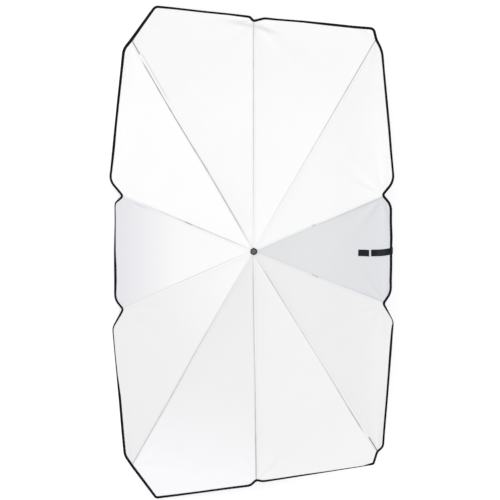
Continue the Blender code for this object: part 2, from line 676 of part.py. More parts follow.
def sheet_mesh(name, grid, thickness):
    """A closed sheet from a grid of surface points, thick by half each way along Z."""
    rows, columns = len(grid), len(grid[0])
    vertices = []
    for lift in (thickness / 2, -thickness / 2):
        vertices += [(p[0], p[1], p[2] + lift) for row in grid for p in row]
    below = rows * columns
    faces = []
    for r in range(rows - 1):
        for c in range(columns - 1):
            a, b = r * columns + c, r * columns + c + 1
            d, e = a + columns, b + columns
            faces += [(a, d, e, b), (below + a, below + b, below + e, below + d)]
    edge = ([r * columns for r in range(rows)] + [(rows - 1) * columns + c for c in range(1, columns)]
            + [r * columns + columns - 1 for r in range(rows - 2, -1, -1)]
            + [c for c in range(columns - 2, 0, -1)])
    for i, a in enumerate(edge):
        b = edge[(i + 1) % len(edge)]
        faces.append((b, a, below + a, below + b))
    return mesh_from(name, vertices, faces)


def gore_grid(gore, rim):
    """Rows of points from the hub hole to the rim, drawn straight from the middle between the two ribs."""
    first, second = tip_xy(gore), tip_xy(next_rib(gore))
    breaks = sorted({p.x / REACH[rib] for rib in (gore, next_rib(gore)) for p in PROFILES[rib][1:-1]})
    det = first.x * second.y - first.y * second.x
    rows = [[point.normalized() * HUB_HOLE_R for point in rim]]
    for total in breaks:
        row = []
        for point in rim:
            share_first = (point.x * second.y - point.y * second.x) / det
            share_second = (first.x * point.y - first.y * point.x) / det
            row.append((first * share_first + second * share_second) * (total / (share_first + share_second)))
        rows.append(row)
    rows.append(list(rim))
    from_first = Vector((-first.y, first.x)).normalized() * SEAM_GAP / 2
    from_second = Vector((second.y, -second.x)).normalized() * SEAM_GAP / 2
    for row in rows:
        row[0] = row[0] + from_first
        row[-1] = row[-1] + from_second
    return [[(p.x, p.y, canopy_height(p, gore)) for p in row] for row in rows]


def canopy_outlines():
    """The rim's outer line, its inner line and the gores' own edge, each as one list of points per gore."""
    whole, starts = [], []
    for gore in RIB_ORDER:
        starts.append(len(whole))
        whole += gore_outline(gore)
    lines = []
    for distance in (0.0, BINDING_WIDTH, BINDING_WIDTH + SEAT_GAP):
        points = inset(whole, distance) if distance else whole
        closed = points + points[:1]
        ends = starts[1:] + [len(points)]
        lines.append({gore: closed[start:end + 1] for gore, start, end in zip(RIB_ORDER, starts, ends)})
    return lines


def binding_line(gores, line):
    """One edge of a length of tape as points with heights, a little short of its neighbours at both ends."""
    points = [(point, gore) for gore in gores for point in line[gore][:-1]]
    points.append((line[gores[-1]][-1], gores[-1]))
    for end, beside in ((0, 1), (-1, -2)):
        point, gore = points[end]
        points[end] = (point + (points[beside][0] - point).normalized() * SEAM_GAP / 2, gore)
    return [(point.x, point.y, canopy_height(point, gore)) for point, gore in points]


def binding_mesh(name, outer, inner):
    """A length of tape between its outer and its inner line."""
    half = BINDING_THICK / 2
    vertices = []
    for out, within in zip(outer, inner):
        for (x, y, z), lift in ((out, -half), (out, half), (within, half), (within, -half)):
            vertices.append((x, y, z + lift))
    last = len(vertices) - 4
    faces = [(0, 1, 2, 3), (last + 3, last + 2, last + 1, last)]
    for here in range(0, last, 4):
        there = here + 4
        for side in range(4):
            j = (side + 1) % 4
            faces.append((here + side, there + side, there + j, here + j))
    return mesh_from(name, vertices, faces)


def strip_mesh(name, start, length, lift, thickness, cells):
    """A webbing strip along X that lies over the gore."""
    grid = []
    for y in (STRAP_Y - STRAP_WIDTH / 2, STRAP_Y + STRAP_WIDTH / 2):
        row = []
        for cell in range(cells + 1):
            x = start + length * cell / cells
            row.append((x, y, canopy_height(Vector((x, STRAP_Y)), STRAP_GORE) + lift + thickness / 2))
        grid.append(row[::-1])
    return sheet_mesh(name, grid, thickness)


def lying_matrix(lowest_points):
    """Tips the shade about Y until its long left rim and its handle's end stand on one plane, at Z = 0."""
    end_points = [Vector((END_CAP_EDGE - END_CAP_R, 0.0, END_FACE_Z)),
                  Vector((-END_CAP_R, 0.0, END_FACE_Z + END_CAP_EDGE))]

    def lowest(points, angle):
        return min(p.x * math.sin(angle) + p.z * math.cos(angle) for p in points)

    low, high = math.radians(LEAST_TILT_DEG), math.radians(MOST_TILT_DEG)
    for _ in range(TILT_HALVINGS):
        angle = (low + high) / 2
        if lowest(lowest_points, angle) > lowest(end_points, angle):
            low = angle
        else:
            high = angle
    lift = -lowest(lowest_points + end_points, angle)
    return Matrix.Translation((0.0, 0.0, lift)) @ Matrix.Rotation(-angle, 4, "Y")


def centred(matrix, points):
    """The same placing with the middle of the points' box over the origin."""
    placed = [matrix @ p for p in points]
    middle = [(min(p[i] for p in placed) + max(p[i] for p in placed)) / 2 for i in (0, 1)]
    return Matrix.Translation((-middle[0], -middle[1], 0.0)) @ matrix


def build():
    for obj in list(bpy.data.objects):
        bpy.data.objects.remove(obj)

    fabric = material("white_fabric", (0.86, 0.86, 0.90), 0.65)
    black_webbing = material("black_webbing", (0.012, 0.012, 0.016), 0.75)
    steel = material("rib_steel", (0.55, 0.56, 0.58), 0.35, 1.0)
    fibreglass = material("black_rod", (0.03, 0.03, 0.032), 0.4)
    shaft_steel = material("shaft_steel", (0.62, 0.63, 0.65), 0.25, 1.0)
    plastic = material("black_plastic", (0.022, 0.022, 0.025), 0.45)
    cap_grey = material("cap_grey", (0.105, 0.095, 0.125), 0.4)
    button_grey = material("button_grey", (0.13, 0.13, 0.14), 0.45)

    outer, inner, gore_edge = canopy_outlines()
    binding = {name: binding_mesh(name, binding_line(gores, outer), binding_line(gores, inner))
               for name, gores in BINDING_LENGTHS.items()}
    rim_points = [v.co.copy() for mesh in binding.values() for v in mesh.vertices]
    lying = centred(lying_matrix(rim_points), rim_points + [Vector((0.0, 0.0, END_FACE_Z))])
    frame = empty("rest_frame", matrix=lying)

    for gore in RIB_ORDER:
        name = f"gore_{gore}"
        make_object(name, sheet_mesh(name, gore_grid(gore, gore_edge[gore]), FABRIC_THICK), fabric, frame)
    for name, mesh in binding.items():
        make_object(name, mesh, black_webbing, frame)
    strap = strip_mesh("strap", STRAP_START_X, STRAP_LENGTH, STRAP_LIFT, STRAP_THICK, STRAP_CELLS)
    make_object("strap", strap, black_webbing, frame)
    patch_lift = FABRIC_THICK / 2 + SEAT_GAP
    patch = strip_mesh("hook_patch", PATCH_START_X, PATCH_LENGTH, patch_lift, PATCH_THICK, 1)
    make_object("hook_patch", patch, black_webbing, frame)

    make_object("shaft_tube", shaft_mesh(), shaft_steel, frame)
    make_object("crown", crown_mesh(), plastic, frame)
    make_object("crown_wire", wire_mesh("crown_wire", PIVOT_RING_R), steel, frame, (0.0, 0.0, PIVOT_Z))
    make_object("top_cap", cap_mesh(), cap_grey, frame)
    make_object("handle", handle_mesh(), plastic, frame)
    make_object("handle_end_cap", end_cap_mesh(), button_grey, frame)

    runner_frame = empty("runner_frame", frame, Matrix.Translation((0.0, 0.0, RUNNER_Z)))
    make_object("runner", runner_mesh(), plastic, runner_frame)
    make_object("runner_wire", wire_mesh("runner_wire", math.hypot(PIVOT_RING_R, STRETCHER_SIDE)), steel,
                runner_frame)
    make_object("catch_button", button_mesh(), button_grey, runner_frame, (0.0, 0.0, -BUTTON_BELOW_PIVOT))

    long_inner = inner_section("long_inner_rib", LONG_INNER)
    side_inner = inner_section("side_inner_rib", SIDE_INNER)
    middle = middle_section("middle_rib", LONG_MIDDLE)
    stretcher = stretcher_mesh("stretcher")
    for name in RIB_ORDER:
        plane = empty(f"rib_plane_{name}", frame, Matrix.Rotation(math.radians(AZIMUTH_DEG[name]), 4, "Z"))
        for kind, pivot, slope, length in rib_sections(name):
            place = (pivot.x, 0.0, pivot.y)
            if kind == "inner":
                mesh = side_inner if name in SIDE_REACH else long_inner
                make_object(f"inner_rib_{name}", mesh, steel, plane, place, slope)
            elif kind == "middle":
                make_object(f"middle_rib_{name}", middle, steel, plane, place, slope)
            else:
                make_object(f"outer_rib_{name}", outer_section(f"outer_rib_{name}", kind, length), fibreglass,
                            plane, place, slope)
        make_object(f"stretcher_{name}", stretcher, steel, plane, (PIVOT_RING_R, STRETCHER_SIDE, RUNNER_Z),
                    STRETCHER_SLOPE)


build()
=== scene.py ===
"""Looks of the folding windscreen sunshade: sewn canopy with its bound rim, strap, ribs, hub and handle.

Each rib carries its own sector of the canopy, cut at the rib's folds. Lengths are in metres; "local" points
are in the shade's own frame, with the hub at the origin and +Z out of the canopy.
"""

import json
import math

import bpy
import numpy as np
from mathutils import Matrix, Vector, noise


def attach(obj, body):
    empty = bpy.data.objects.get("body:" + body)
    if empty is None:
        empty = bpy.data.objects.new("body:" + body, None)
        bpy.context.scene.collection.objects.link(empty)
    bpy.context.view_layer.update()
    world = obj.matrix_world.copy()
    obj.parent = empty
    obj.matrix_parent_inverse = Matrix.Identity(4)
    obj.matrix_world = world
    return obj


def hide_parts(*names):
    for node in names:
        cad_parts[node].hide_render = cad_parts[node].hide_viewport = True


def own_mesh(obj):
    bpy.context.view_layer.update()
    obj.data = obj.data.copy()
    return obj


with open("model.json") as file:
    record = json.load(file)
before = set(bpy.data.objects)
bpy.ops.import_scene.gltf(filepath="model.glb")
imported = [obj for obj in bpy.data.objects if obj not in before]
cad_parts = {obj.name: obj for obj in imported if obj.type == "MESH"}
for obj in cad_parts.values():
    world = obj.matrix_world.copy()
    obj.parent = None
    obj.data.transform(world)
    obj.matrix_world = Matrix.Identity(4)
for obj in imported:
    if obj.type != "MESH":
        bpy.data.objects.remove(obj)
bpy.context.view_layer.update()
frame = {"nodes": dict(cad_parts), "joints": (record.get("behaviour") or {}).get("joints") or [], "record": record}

# Outline of the canopy, as in the solid model: rib azimuths, reach to the rim, and the rim's shoulders.
SIDE_REACH = {"right_high": 0.419, "left_high": 0.422, "left_low": 0.425, "right_low": 0.416}
CORNER_REACH = {"corner_right_high": 0.726, "corner_left_high": 0.727,
                "corner_left_low": 0.732, "corner_right_low": 0.699}
END_REACH = {"end_high": 0.685, "end_low": 0.679}
AZIMUTH_DEG = {"right_high": 23.4, "corner_right_high": 59.8, "end_high": 90.0, "corner_left_high": 120.0,
               "left_high": 157.2, "left_low": 203.7, "corner_left_low": 240.2, "end_low": 270.7,
               "corner_right_low": 301.8, "right_low": 338.3}
SHOULDERS = {"right_high": ((0.038, 0.034), (0.034, 0.016)),
             "corner_right_high": ((0.013, 0.033), (0.030, 0.013)),
             "end_high": ((0.007, 0.013), (0.085, 0.086)),
             "corner_left_high": ((0.032, 0.023), (0.043, 0.041)),
             "left_high": ((0.020, 0.021), (0.028, 0.023)),
             "left_low": ((0.052, 0.032), (0.032, 0.019)),
             "corner_left_low": ((0.084, 0.088), (0.014, 0.018)),
             "end_low": ((0.017, 0.008), (0.020, 0.033)),
             "corner_right_low": ((0.015, 0.017), (0.053, 0.030)),
             "right_low": ((0.032, 0.022), (0.028, 0.024))}
# How far each shoulder's corner is rounded, before and after it, and a rib tip's notch.
SHOULDER_ROUNDING = {"right_high": (0.024, 0.020), "corner_right_high": (0.014, 0.006),
                     "end_high": (0.010, 0.012), "corner_left_high": (0.014, 0.022),
                     "left_high": (0.007, 0.020), "left_low": (0.012, 0.012),
                     "corner_left_low": (0.008, 0.012), "end_low": (0.012, 0.006),
                     "corner_right_low": (0.012, 0.010), "right_low": (0.024, 0.020)}
NOTCH_ROUNDING = 0.005
RIB_ORDER = sorted(AZIMUTH_DEG, key=AZIMUTH_DEG.get)
REACH = {**SIDE_REACH, **CORNER_REACH, **END_REACH}

HUB_HOLE_R = 0.0058
FABRIC_THICK = 0.0005
FABRIC_OVER_PIVOT = 0.0023
FABRIC_UNDER_BINDING = 0.0013
FABRIC_OVER_TIP = 0.0008
CHANNEL_RISE = 0.0036
CAP_HEIGHT = 0.0068
ROD_END = 0.002

SAG_SHARE = 0.020
SAG_CALM_FROM = 0.05
SAG_CALM_OVER = 0.15
SEAM_GROOVE = 0.0007
SEAM_GROOVE_WIDTH = 0.0016
SEAM_RIDGE = 0.0004
SEAM_RIDGE_WIDTH = 0.0055
SEAM_COLUMNS = (0.0007, 0.0014, 0.0023, 0.0036, 0.0055, 0.0085, 0.0130)
WRINKLE_DEPTH = 0.0009
WRINKLE_START = 0.035
WRINKLE_FADE = 0.085
TIP_WRINKLES = {"end_high": 2.4, "right_high": 2.0, "end_low": 1.3}
BILLOW_DEPTH = 0.0012
BILLOW_SCALE = 7.0
REST_CLEARANCE = 0.0013
REST_SOFTNESS = 0.0012

BINDING_WIDTH = 0.0058
# Around the rim, by azimuth in degrees: the tape's width as a share of BINDING_WIDTH, and how far the rim
# runs outside the straight lines between its corners, in metres. A script measured both in the photograph and
# in a render about every six degrees. Eight widths were then changed, and every shift was moved out by 0.5 mm.
BINDING_SHARES = ((0, 1.30), (6, 1.34), (12, 1.26), (24, 1.30), (30, 1.05), (36, 1.16), (48, 1.21),
                  (54, 1.11), (60, 1.40), (66, 1.32), (72, 1.32), (78, 1.05), (84, 1.02), (90, 1.30),
                  (96, 1.01), (102, 1.05), (108, 1.08), (114, 1.40), (120, 1.62), (126, 1.36), (132, 1.30),
                  (138, 1.22), (144, 1.36), (150, 1.16), (158, 1.14), (162, 0.55), (168, 0.57), (174, 0.72),
                  (180, 0.92), (186, 1.25), (192, 1.30), (198, 1.07), (205, 1.05), (209, 0.55), (216, 0.45),
                  (222, 0.62), (227, 1.25), (234, 1.28), (240, 1.33), (246, 1.31), (252, 1.12), (258, 1.02),
                  (270, 1.20), (276, 0.89), (282, 0.84), (288, 0.56), (297, 0.40), (299, 1.20), (306, 1.05),
                  (318, 1.12), (324, 1.25), (331, 1.04), (334, 0.45), (336, 0.75), (338.5, 1.25),
                  (342, 1.17), (348, 1.28), (354, 1.30))
RIM_SHIFTS = ((0, 0.0013), (6, 0.0023), (12, 0.0005), (18, 0.0008), (24, 0.0013), (30, 0.0006),
              (36, 0.0007), (42, 0.0018), (48, 0.0017), (54, 0.0009), (60, 0.0025), (66, 0.0007),
              (72, 0.0015), (78, 0.0015), (84, 0.0000), (90, 0.0010), (96, 0.0016), (102, 0.0013),
              (108, 0.0023), (114, 0.0023), (120, 0.0017), (126, 0.0008), (132, 0.0013), (138, 0.0010),
              (144, 0.0005), (150, 0.0001), (156, 0.0025), (162, 0.0015), (168, 0.0007), (174, 0.0015),
              (180, 0.0021), (186, 0.0016), (192, 0.0008), (204, 0.0005), (228, 0.0003), (234, 0.0012),
              (240, 0.0001), (252, 0.0006), (264, -0.0001), (270, 0.0007), (300, 0.0007), (306, -0.0009),
              (312, 0.0005), (324, 0.0008), (330, 0.0001), (342, 0.0010), (348, 0.0003), (354, 0.0015))
BINDING_THICK = 0.0017
RIM_STEP = 0.0035
RIM_ROWS = (1, 2, 3, 5, 6)
BINDING_NODES = {rib: f"edge_binding_{side}" for side, ribs in (
    ("left", ("corner_left_high", "left_high", "left_low")),
    ("high", ("right_high", "corner_right_high", "end_high")),
    ("low", ("corner_left_low", "end_low", "corner_right_low", "right_low"))) for rib in ribs}

POCKET_LENGTH = 0.030
POCKET_WIDTH = 0.0088
POCKET_DEPTH = 0.0042
TIE_THREAD_R = 0.0003
TIE_AT_SHARE = 0.62
TIE_HALF_WIDTH = 0.0024
TIE_PITCH = 0.0009
TIE_TURNS = 3
TIE_STEPS = 20
TIE_CORNER = 0.55
TIE_UNDER_RIB = 0.0006
FIRST_TIE_FROM = 0.02
RIB_END_ZONE = 0.012

STRAP_START_X = 0.347
STRAP_LENGTH = 0.0645
STRAP_WIDTH = 0.0195
STRAP_THICK = 0.0015
STRAP_LIFT = 0.0012
STRAP_Y = -0.0043
STRAP_BEND = 0.0073
PATCH_START_X = 0.309
PATCH_LENGTH = 0.0322
PATCH_WIDTH = 0.0192
PATCH_THICK = 0.0012
PATCH_LIFT = 0.0008
PATCH_Y = -0.0040
PATCH_BEND = -0.0012
WEBBING_CORNER = 0.0012
STRAP_GORE = "right_low"
STRAP_RIB = "right_high"

# Painted shade: colour of each gore's coating near the hub, half way out and at its rim, where one number is a
# grey, each gore painted lighter or darker as it faces the light and towards its rim. A script first worked these
# out from the photograph's colours at those places, and most were then changed by hand.
GORE_TONE_AND_SHADE = {"right_high": (0.884, 0.918, 0.962),
             "corner_right_high": (0.895, 0.910, 0.935),
             "end_high": ((0.865, 0.865, 0.868), (0.892, 0.892, 0.894), (0.905, 0.905, 0.907)),
             "corner_left_high": (0.892, 0.895, 0.910),
             "left_high": (0.876, 0.852, (0.714, 0.708, 0.745)),
             "left_low": (0.860, 0.795, 0.797),
             "corner_left_low": ((0.770, 0.770, 0.777), 0.807, (0.932, 0.924, 0.952)),
             "end_low": (0.817, 0.846, 0.905),
             "corner_right_low": (0.788, 0.825, 0.890),
             "right_low": ((0.697, 0.704, 0.719), (0.733, 0.741, 0.756), (0.728, 0.736, 0.760))}
TONE_PLACES = (0.15, 0.55, 0.95)
FABRIC_SHADOW = (0.76, 0.76, 0.77)

# Each rib's seam on the white side: how dark it is near the hub, half way and near the tip, how far it runs
# to one side of the rib near the hub and farther out, and between which reaches it crosses over. They were set
# from a script's printout of the tones beside each rib, in the photograph and in a render.
SEAM_STRENGTH = {"right_high": (0.10, 0.13, 0.19), "corner_right_high": (0.12, 0.28, 0.56),
                 "end_high": (0.19, 0.43, 0.43), "corner_left_high": (0.64, 0.76, 0.78),
                 "left_high": (0.34, 0.46, 0.18), "left_low": (0.14, 0.24, 0.02),
                 "corner_left_low": (0.21, 0.42, 0.52), "end_low": (0.44, 0.35, 0.66),
                 "corner_right_low": (0.50, 0.23, 0.62), "right_low": (0.03, 0.04, 0.12)}
SEAM_SHIFT = {"right_high": (0.0010, -0.0044, 0.20, 0.23), "corner_right_high": (0.0027, 0.0030, 0.20, 0.60),
              "end_high": (0.0005, 0.0005, 0.20, 0.60), "corner_left_high": (-0.0010, 0.0042, 0.22, 0.50),
              "left_high": (-0.0018, -0.0018, 0.10, 0.30), "left_low": (-0.0050, -0.0045, 0.10, 0.30),
              "corner_left_low": (-0.0015, 0.0015, 0.30, 0.55), "end_low": (-0.0025, -0.0008, 0.20, 0.40),
              "corner_right_low": (-0.0035, -0.0055, 0.42, 0.55), "right_low": (0.0, 0.0040, 0.26, 0.32)}
SEAM_DARK = (0.16, 0.16, 0.185)
POCKET_DARK = (0.11, 0.11, 0.13)
FOLD_DARK = (0.13, 0.125, 0.16)
CREASE_SHADOW = (0.55, 0.55, 0.56)
THREAD_GREY = (0.66, 0.66, 0.68)
# How strongly a tip pocket shows through, and a side rib's fold: (from, to, strength).
TIP_POCKET_STRENGTH = {"corner_left_high": 0.80, "corner_right_low": 0.85, "end_high": 0.10}
FOLD_DASH = {"right_high": (0.186, 0.202, 0.30), "left_high": (0.196, 0.222, 0.42),
             "right_low": (0.182, 0.209, 0.34)}
# Soft shadow along the creases from a tip's notch: (slope, strength) before and after the rib, and how far
# below the rib's end they start.
NOTCH_SHADE = {"end_high": (((-0.31, 0.34), (0.175, 0.34)), 0.017)}
# A second faint line beside a rib: (distance across, from, to, strength).
SECOND_LINE = {"corner_left_high": (-0.0056, 0.50, 0.68, 0.20), "left_high": (0.0050, 0.32, 0.39, 0.14)}

# The camera looks straight down on the canopy from far off, as the photograph does.
METRES_PER_PIXEL = 0.002959
PHOTO_SIDE = 500
HUB_PIXEL = (253.7, 251.5)
CAMERA_DISTANCE = 40.0
RIM_DEPTH = 0.10
SENSOR = 36.0

FLOOR_HALF = 12.0
FLOOR_DROP = 0.0005
FLOOR_GLOW = 0.52
SURROUND_STRENGTH = 0.565
KEY_DIRECTION = (-0.12, 0.03, 1.0)
KEY_DISTANCE = 7.0
KEY_SIZE = 4.2
KEY_POWER = 262.0
SMOOTH_DEG = 60
CLOTH_SMOOTH_DEG = 50
WEAVE_PITCH = 0.0009
TWILL_PITCH = 0.0014
STITCH_HALF = 0.0005
SEAM_STITCHES_AT = 0.0045
TAPE_STITCHES_AT = 0.0042
CAP_BEVEL = (0.0048, 0.0080)
# (metallic, grain scale, tone scale, tone's share, how much smoother and rougher, grain depth)
METAL = (1.0, 900.0, 60.0, 0.9, 0.08, 0.1, 0.00002)
PLASTIC = (0.0, 1400.0, 90.0, 1.18, 0.06, 0.08, 0.00004)


def joint(name):
    return next(j for j in frame["joints"] if j["name"] == name)


OUTWARD = -Vector(joint("runner_slide")["axis"]).normalized()
LOCAL_Y = Vector((0.0, 1.0, 0.0))
LOCAL_X = LOCAL_Y.cross(OUTWARD)


def hub_point():
    """Where the shaft's axis meets the canopy, under the cap."""
    cap = next(m for m in frame["record"]["mounts"] if m["name"] == "cap_face")
    return Vector(cap["pos_m"]) - OUTWARD * CAP_HEIGHT


HUB = hub_point()
TO_ROW = Matrix((LOCAL_X, LOCAL_Y, OUTWARD)).transposed().to_4x4()
TO_ROW.translation = HUB
TO_LOCAL = TO_ROW.inverted()


def next_rib(name):
    return RIB_ORDER[(RIB_ORDER.index(name) + 1) % len(RIB_ORDER)]


def last_rib(name):
    return RIB_ORDER[RIB_ORDER.index(name) - 1]


def direction(name):
    angle = math.radians(AZIMUTH_DEG[name])
    return np.array([math.cos(angle), math.sin(angle)])


def sideways(name):
    away = direction(name)
    return np.array([-away[1], away[0]])


def tip(name):
    return direction(name) * REACH[name]


def sections_of(rib):
    return ("inner", "outer") if rib in SIDE_REACH else ("inner", "middle", "outer")


def rib_points(node, rib):
    """(reach, height) of each point of a solid, in its rib's plane."""
    away = direction(rib)
    points = [TO_LOCAL @ v.co for v in frame["nodes"][node].data.vertices]
    return [(p.x * away[0] + p.y * away[1], p.z) for p in points]


def pivot_reach(joint_name, rib):
    """(reach, height) of a hinge in its rib's plane."""
    point = TO_LOCAL @ Vector(joint(joint_name)["pos_m"])
    return float(np.dot([point.x, point.y], direction(rib))), point.z


def rib_folds(rib):
    """(reach, height) of the canopy over each fold of a rib, from the crown out."""
    if rib in SIDE_REACH:
        reach, height = pivot_reach(f"outer_hinge_{rib}", rib)
        return [(reach, height + FABRIC_OVER_PIVOT)]
    first, first_height = pivot_reach(f"middle_hinge_{rib}", rib)
    second, second_height = pivot_reach(f"outer_hinge_{rib}", rib)
    return [(first, first_height + FABRIC_OVER_PIVOT),
            (second, second_height + CHANNEL_RISE + FABRIC_OVER_PIVOT)]


def rib_tip_height(rib):
    """(reach, height) of the canopy over the rib's tip, from the rod's own far end."""
    rod = rib_points(f"outer_rib_{rib}", rib)
    reach = max(rod)[0]
    return reach, max(height for at, height in rod if at > reach - ROD_END) + FABRIC_OVER_TIP


def smooth_profile(rib):
    """The canopy's height over a rib: a smooth curve over the folds, sampled finely."""
    knots = [(0.0, 0.0)] + rib_folds(rib) + [rib_tip_height(rib)]
    reach = np.array([k[0] for k in knots])
    height = np.array([k[1] for k in knots])
    secants = np.diff(height) / np.diff(reach)
    slopes = np.concatenate([[secants[0]], (secants[:-1] + secants[1:]) / 2, [secants[-1]]])
    fine, values = [], []
    for i in range(len(knots) - 1):
        t = np.linspace(0.0, 1.0, 40, endpoint=False)
        span = reach[i + 1] - reach[i]
        h00, h10 = 2 * t**3 - 3 * t**2 + 1, t**3 - 2 * t**2 + t
        h01, h11 = -2 * t**3 + 3 * t**2, t**3 - t**2
        fine.append(reach[i] + t * span)
        values.append(h00 * height[i] + h10 * span * slopes[i]
                      + h01 * height[i + 1] + h11 * span * slopes[i + 1])
    beyond = reach[-1] + 0.2
    fine.append([reach[-1], beyond])
    values.append([height[-1], height[-1] + slopes[-1] * 0.2])
    return np.concatenate(fine), np.concatenate(values)


PROFILES = {rib: smooth_profile(rib) for rib in RIB_ORDER}


def shares(points, gore):
    """Each point as (share across the gore from its first rib, total reach share)."""
    first, second = tip(gore), tip(next_rib(gore))
    det = first[0] * second[1] - first[1] * second[0]
    of_first = (points[:, 0] * second[1] - points[:, 1] * second[0]) / det
    of_second = (first[0] * points[:, 1] - first[1] * points[:, 0]) / det
    total = np.maximum(of_first + of_second, 1e-6)
    return np.clip(of_second / total, 0.0, 1.0), total


def tip_wrinkles(points, gore):
    """Fine tension folds that fan out from the two rib tips of a gore."""
    height = np.zeros(len(points))
    for rib, seed in ((gore, 0.7), (next_rib(gore), 2.9)):
        apart = points - tip(rib)
        distance = np.linalg.norm(apart, axis=1)
        bearing = np.arctan2(apart[:, 1], apart[:, 0])
        phase = seed * (1 + RIB_ORDER.index(rib))
        folds = np.sin(9 * bearing + phase) + 0.6 * np.sin(16 * bearing + 2.3 * phase)
        depth = WRINKLE_DEPTH * TIP_WRINKLES.get(rib, 1.0)
        height += depth * folds * np.clip(distance / WRINKLE_START, 0, 1) * np.exp(-distance / WRINKLE_FADE)
    return height


def billow(points):
    """Slow unevenness of cloth under tension."""
    scale = BILLOW_SCALE
    return np.array([BILLOW_DEPTH * noise.noise(Vector((p[0] * scale, p[1] * scale, 4.2)))
                     + BILLOW_DEPTH * 0.35 * noise.noise(Vector((p[0] * 3 * scale, p[1] * 3 * scale, 9.1)))
                     for p in points])


def seam_relief(points, gore):
    """The sewn seam along each rib: a narrow groove between two low welts."""
    relief = np.zeros(len(points))
    for rib in (gore, next_rib(gore)):
        away = direction(rib)
        off = np.abs(points[:, 0] * away[1] - points[:, 1] * away[0])
        relief += SEAM_RIDGE * np.exp(-(off / SEAM_RIDGE_WIDTH) ** 4)
        relief -= SEAM_GROOVE * np.exp(-(off / SEAM_GROOVE_WIDTH) ** 2)
    return relief


def canopy_height(points, gore):
    """Height of the fabric's middle surface over local points of one gore."""
    points = np.asarray(points, float)
    across, total = shares(points, gore)
    rib, other = gore, next_rib(gore)
    over_first = np.interp(total * REACH[rib], *PROFILES[rib])
    over_second = np.interp(total * REACH[other], *PROFILES[other])
    height = (1 - across) * over_first + across * over_second
    width = np.linalg.norm(tip(other) - tip(rib)) * total
    between = 4 * across * (1 - across)
    height -= SAG_SHARE * width * between
    calm = np.clip((total - SAG_CALM_FROM) / SAG_CALM_OVER, 0, 1)
    height += billow(points) * between * calm
    height += tip_wrinkles(points, gore) * np.clip(between * 6, 0, 1)
    height += seam_relief(points, gore) * np.clip(np.linalg.norm(points, axis=1) / 0.03, 0, 1)
    return over_floor(points, height)


def over_floor(points, height):
    """The rim is pressed up where the shade lies on the floor, so that none of it sinks in."""
    level = (REST_CLEARANCE - HUB.z - points[:, 0] * LOCAL_X.z) / OUTWARD.z
    return level + REST_SOFTNESS * np.logaddexp(0.0, (height - level) / REST_SOFTNESS)


def toward(start, end, distance):
    return start + (end - start) / np.linalg.norm(end - start) * distance


def curve(start, control, end, steps):
    return [(1 - t) ** 2 * start + 2 * t * (1 - t) * control + t**2 * end for t in steps]


def rounded(before, corner, after, rounding):
    reach = min(rounding, np.linalg.norm(before - corner) / 2, np.linalg.norm(after - corner) / 2)
    return curve(toward(corner, before, reach), corner, toward(corner, after, reach), np.linspace(0, 1, 9))


def shoulders(gore):
    """The two corners of a gore's rim between its rib tips."""
    first, second = tip(gore), tip(next_rib(gore))
    chord = (second - first) / np.linalg.norm(second - first)
    outward = np.array([chord[1], -chord[0]])
    (near, near_out), (far, far_out) = SHOULDERS[gore]
    return first + chord * near + outward * near_out, second - chord * far + outward * far_out


def notch(rib, steps):
    """Points on the rounded notch at a rib's tip, at these shares of the way round it."""
    corner = tip(rib)
    before, after = shoulders(last_rib(rib))[1], shoulders(rib)[0]
    return curve(toward(corner, before, NOTCH_ROUNDING), corner, toward(corner, after, NOTCH_ROUNDING), steps)


MIDDLE_POINT = {}


def gore_outline(gore):
    """Outer rim of one gore from its first rib tip up to but without its second, with no long gaps.

    One of its points lies midway between the two ribs' directions, and MIDDLE_POINT says which.
    """
    first, second = tip(gore), tip(next_rib(gore))
    near_point, far_point = shoulders(gore)
    near_rounding, far_rounding = SHOULDER_ROUNDING[gore]
    corners = (notch(gore, (0.5, 0.75, 1.0)) + rounded(first, near_point, far_point, near_rounding)
               + rounded(near_point, far_point, second, far_rounding)
               + notch(next_rib(gore), (0.0, 0.25, 0.5)))
    line = []
    for start, end in zip(corners, corners[1:]):
        steps = max(1, int(np.linalg.norm(end - start) / RIM_STEP))
        line += [start + (end - start) * i / steps for i in range(steps)]
    side = np.cross(np.array(line), first + second)
    after = int(np.argmax(side < 0))
    share = side[after - 1] / (side[after - 1] - side[after])
    line.insert(after, line[after - 1] + (line[after] - line[after - 1]) * share)
    MIDDLE_POINT[gore] = after
    return line


def around(table, point):
    """A table's value at a local point's azimuth, between its two nearest entries."""
    azimuth = math.degrees(math.atan2(point[1], point[0])) % 360
    degrees, values = zip(*table)
    return float(np.interp(azimuth, degrees, values, period=360))


def inset(points, distance):
    """The closed outline moved inward, with mitred corners."""
    moved = []
    for i, point in enumerate(points):
        before = point - points[i - 1]
        after = points[(i + 1) % len(points)] - point
        before, after = before / np.linalg.norm(before), after / np.linalg.norm(after)
        both = np.array([-before[1] - after[1], before[0] + after[0]])
        moved.append(point + both * (distance * 2 / max(both @ both, 1.2)))
    return moved


def rim_lines(distances):
    """The closed rim and the same moved inward, each cut into one list of points per gore."""
    whole, starts = [], []
    for gore in RIB_ORDER:
        starts.append(len(whole))
        whole += [p * (1 + around(RIM_SHIFTS, p) / np.linalg.norm(p)) for p in gore_outline(gore)]
    lines = []
    for distance in distances:
        points = inset(whole, distance) if distance else list(whole)
        closed = points + points[:1]
        ends = starts[1:] + [len(points)]
        lines.append({gore: np.array(closed[start:end + 1])
                      for gore, start, end in zip(RIB_ORDER, starts, ends)})
    return lines


FABRIC_EDGE = rim_lines([FABRIC_UNDER_BINDING])[0]


def gore_depth(gore):
    """From the hub to the rim, midway between the gore's two ribs."""
    return float(np.linalg.norm(FABRIC_EDGE[gore][MIDDLE_POINT[gore]]))


def half_angle(gore):
    return math.radians((AZIMUTH_DEG[next_rib(gore)] - AZIMUTH_DEG[gore]) % 360 / 2)


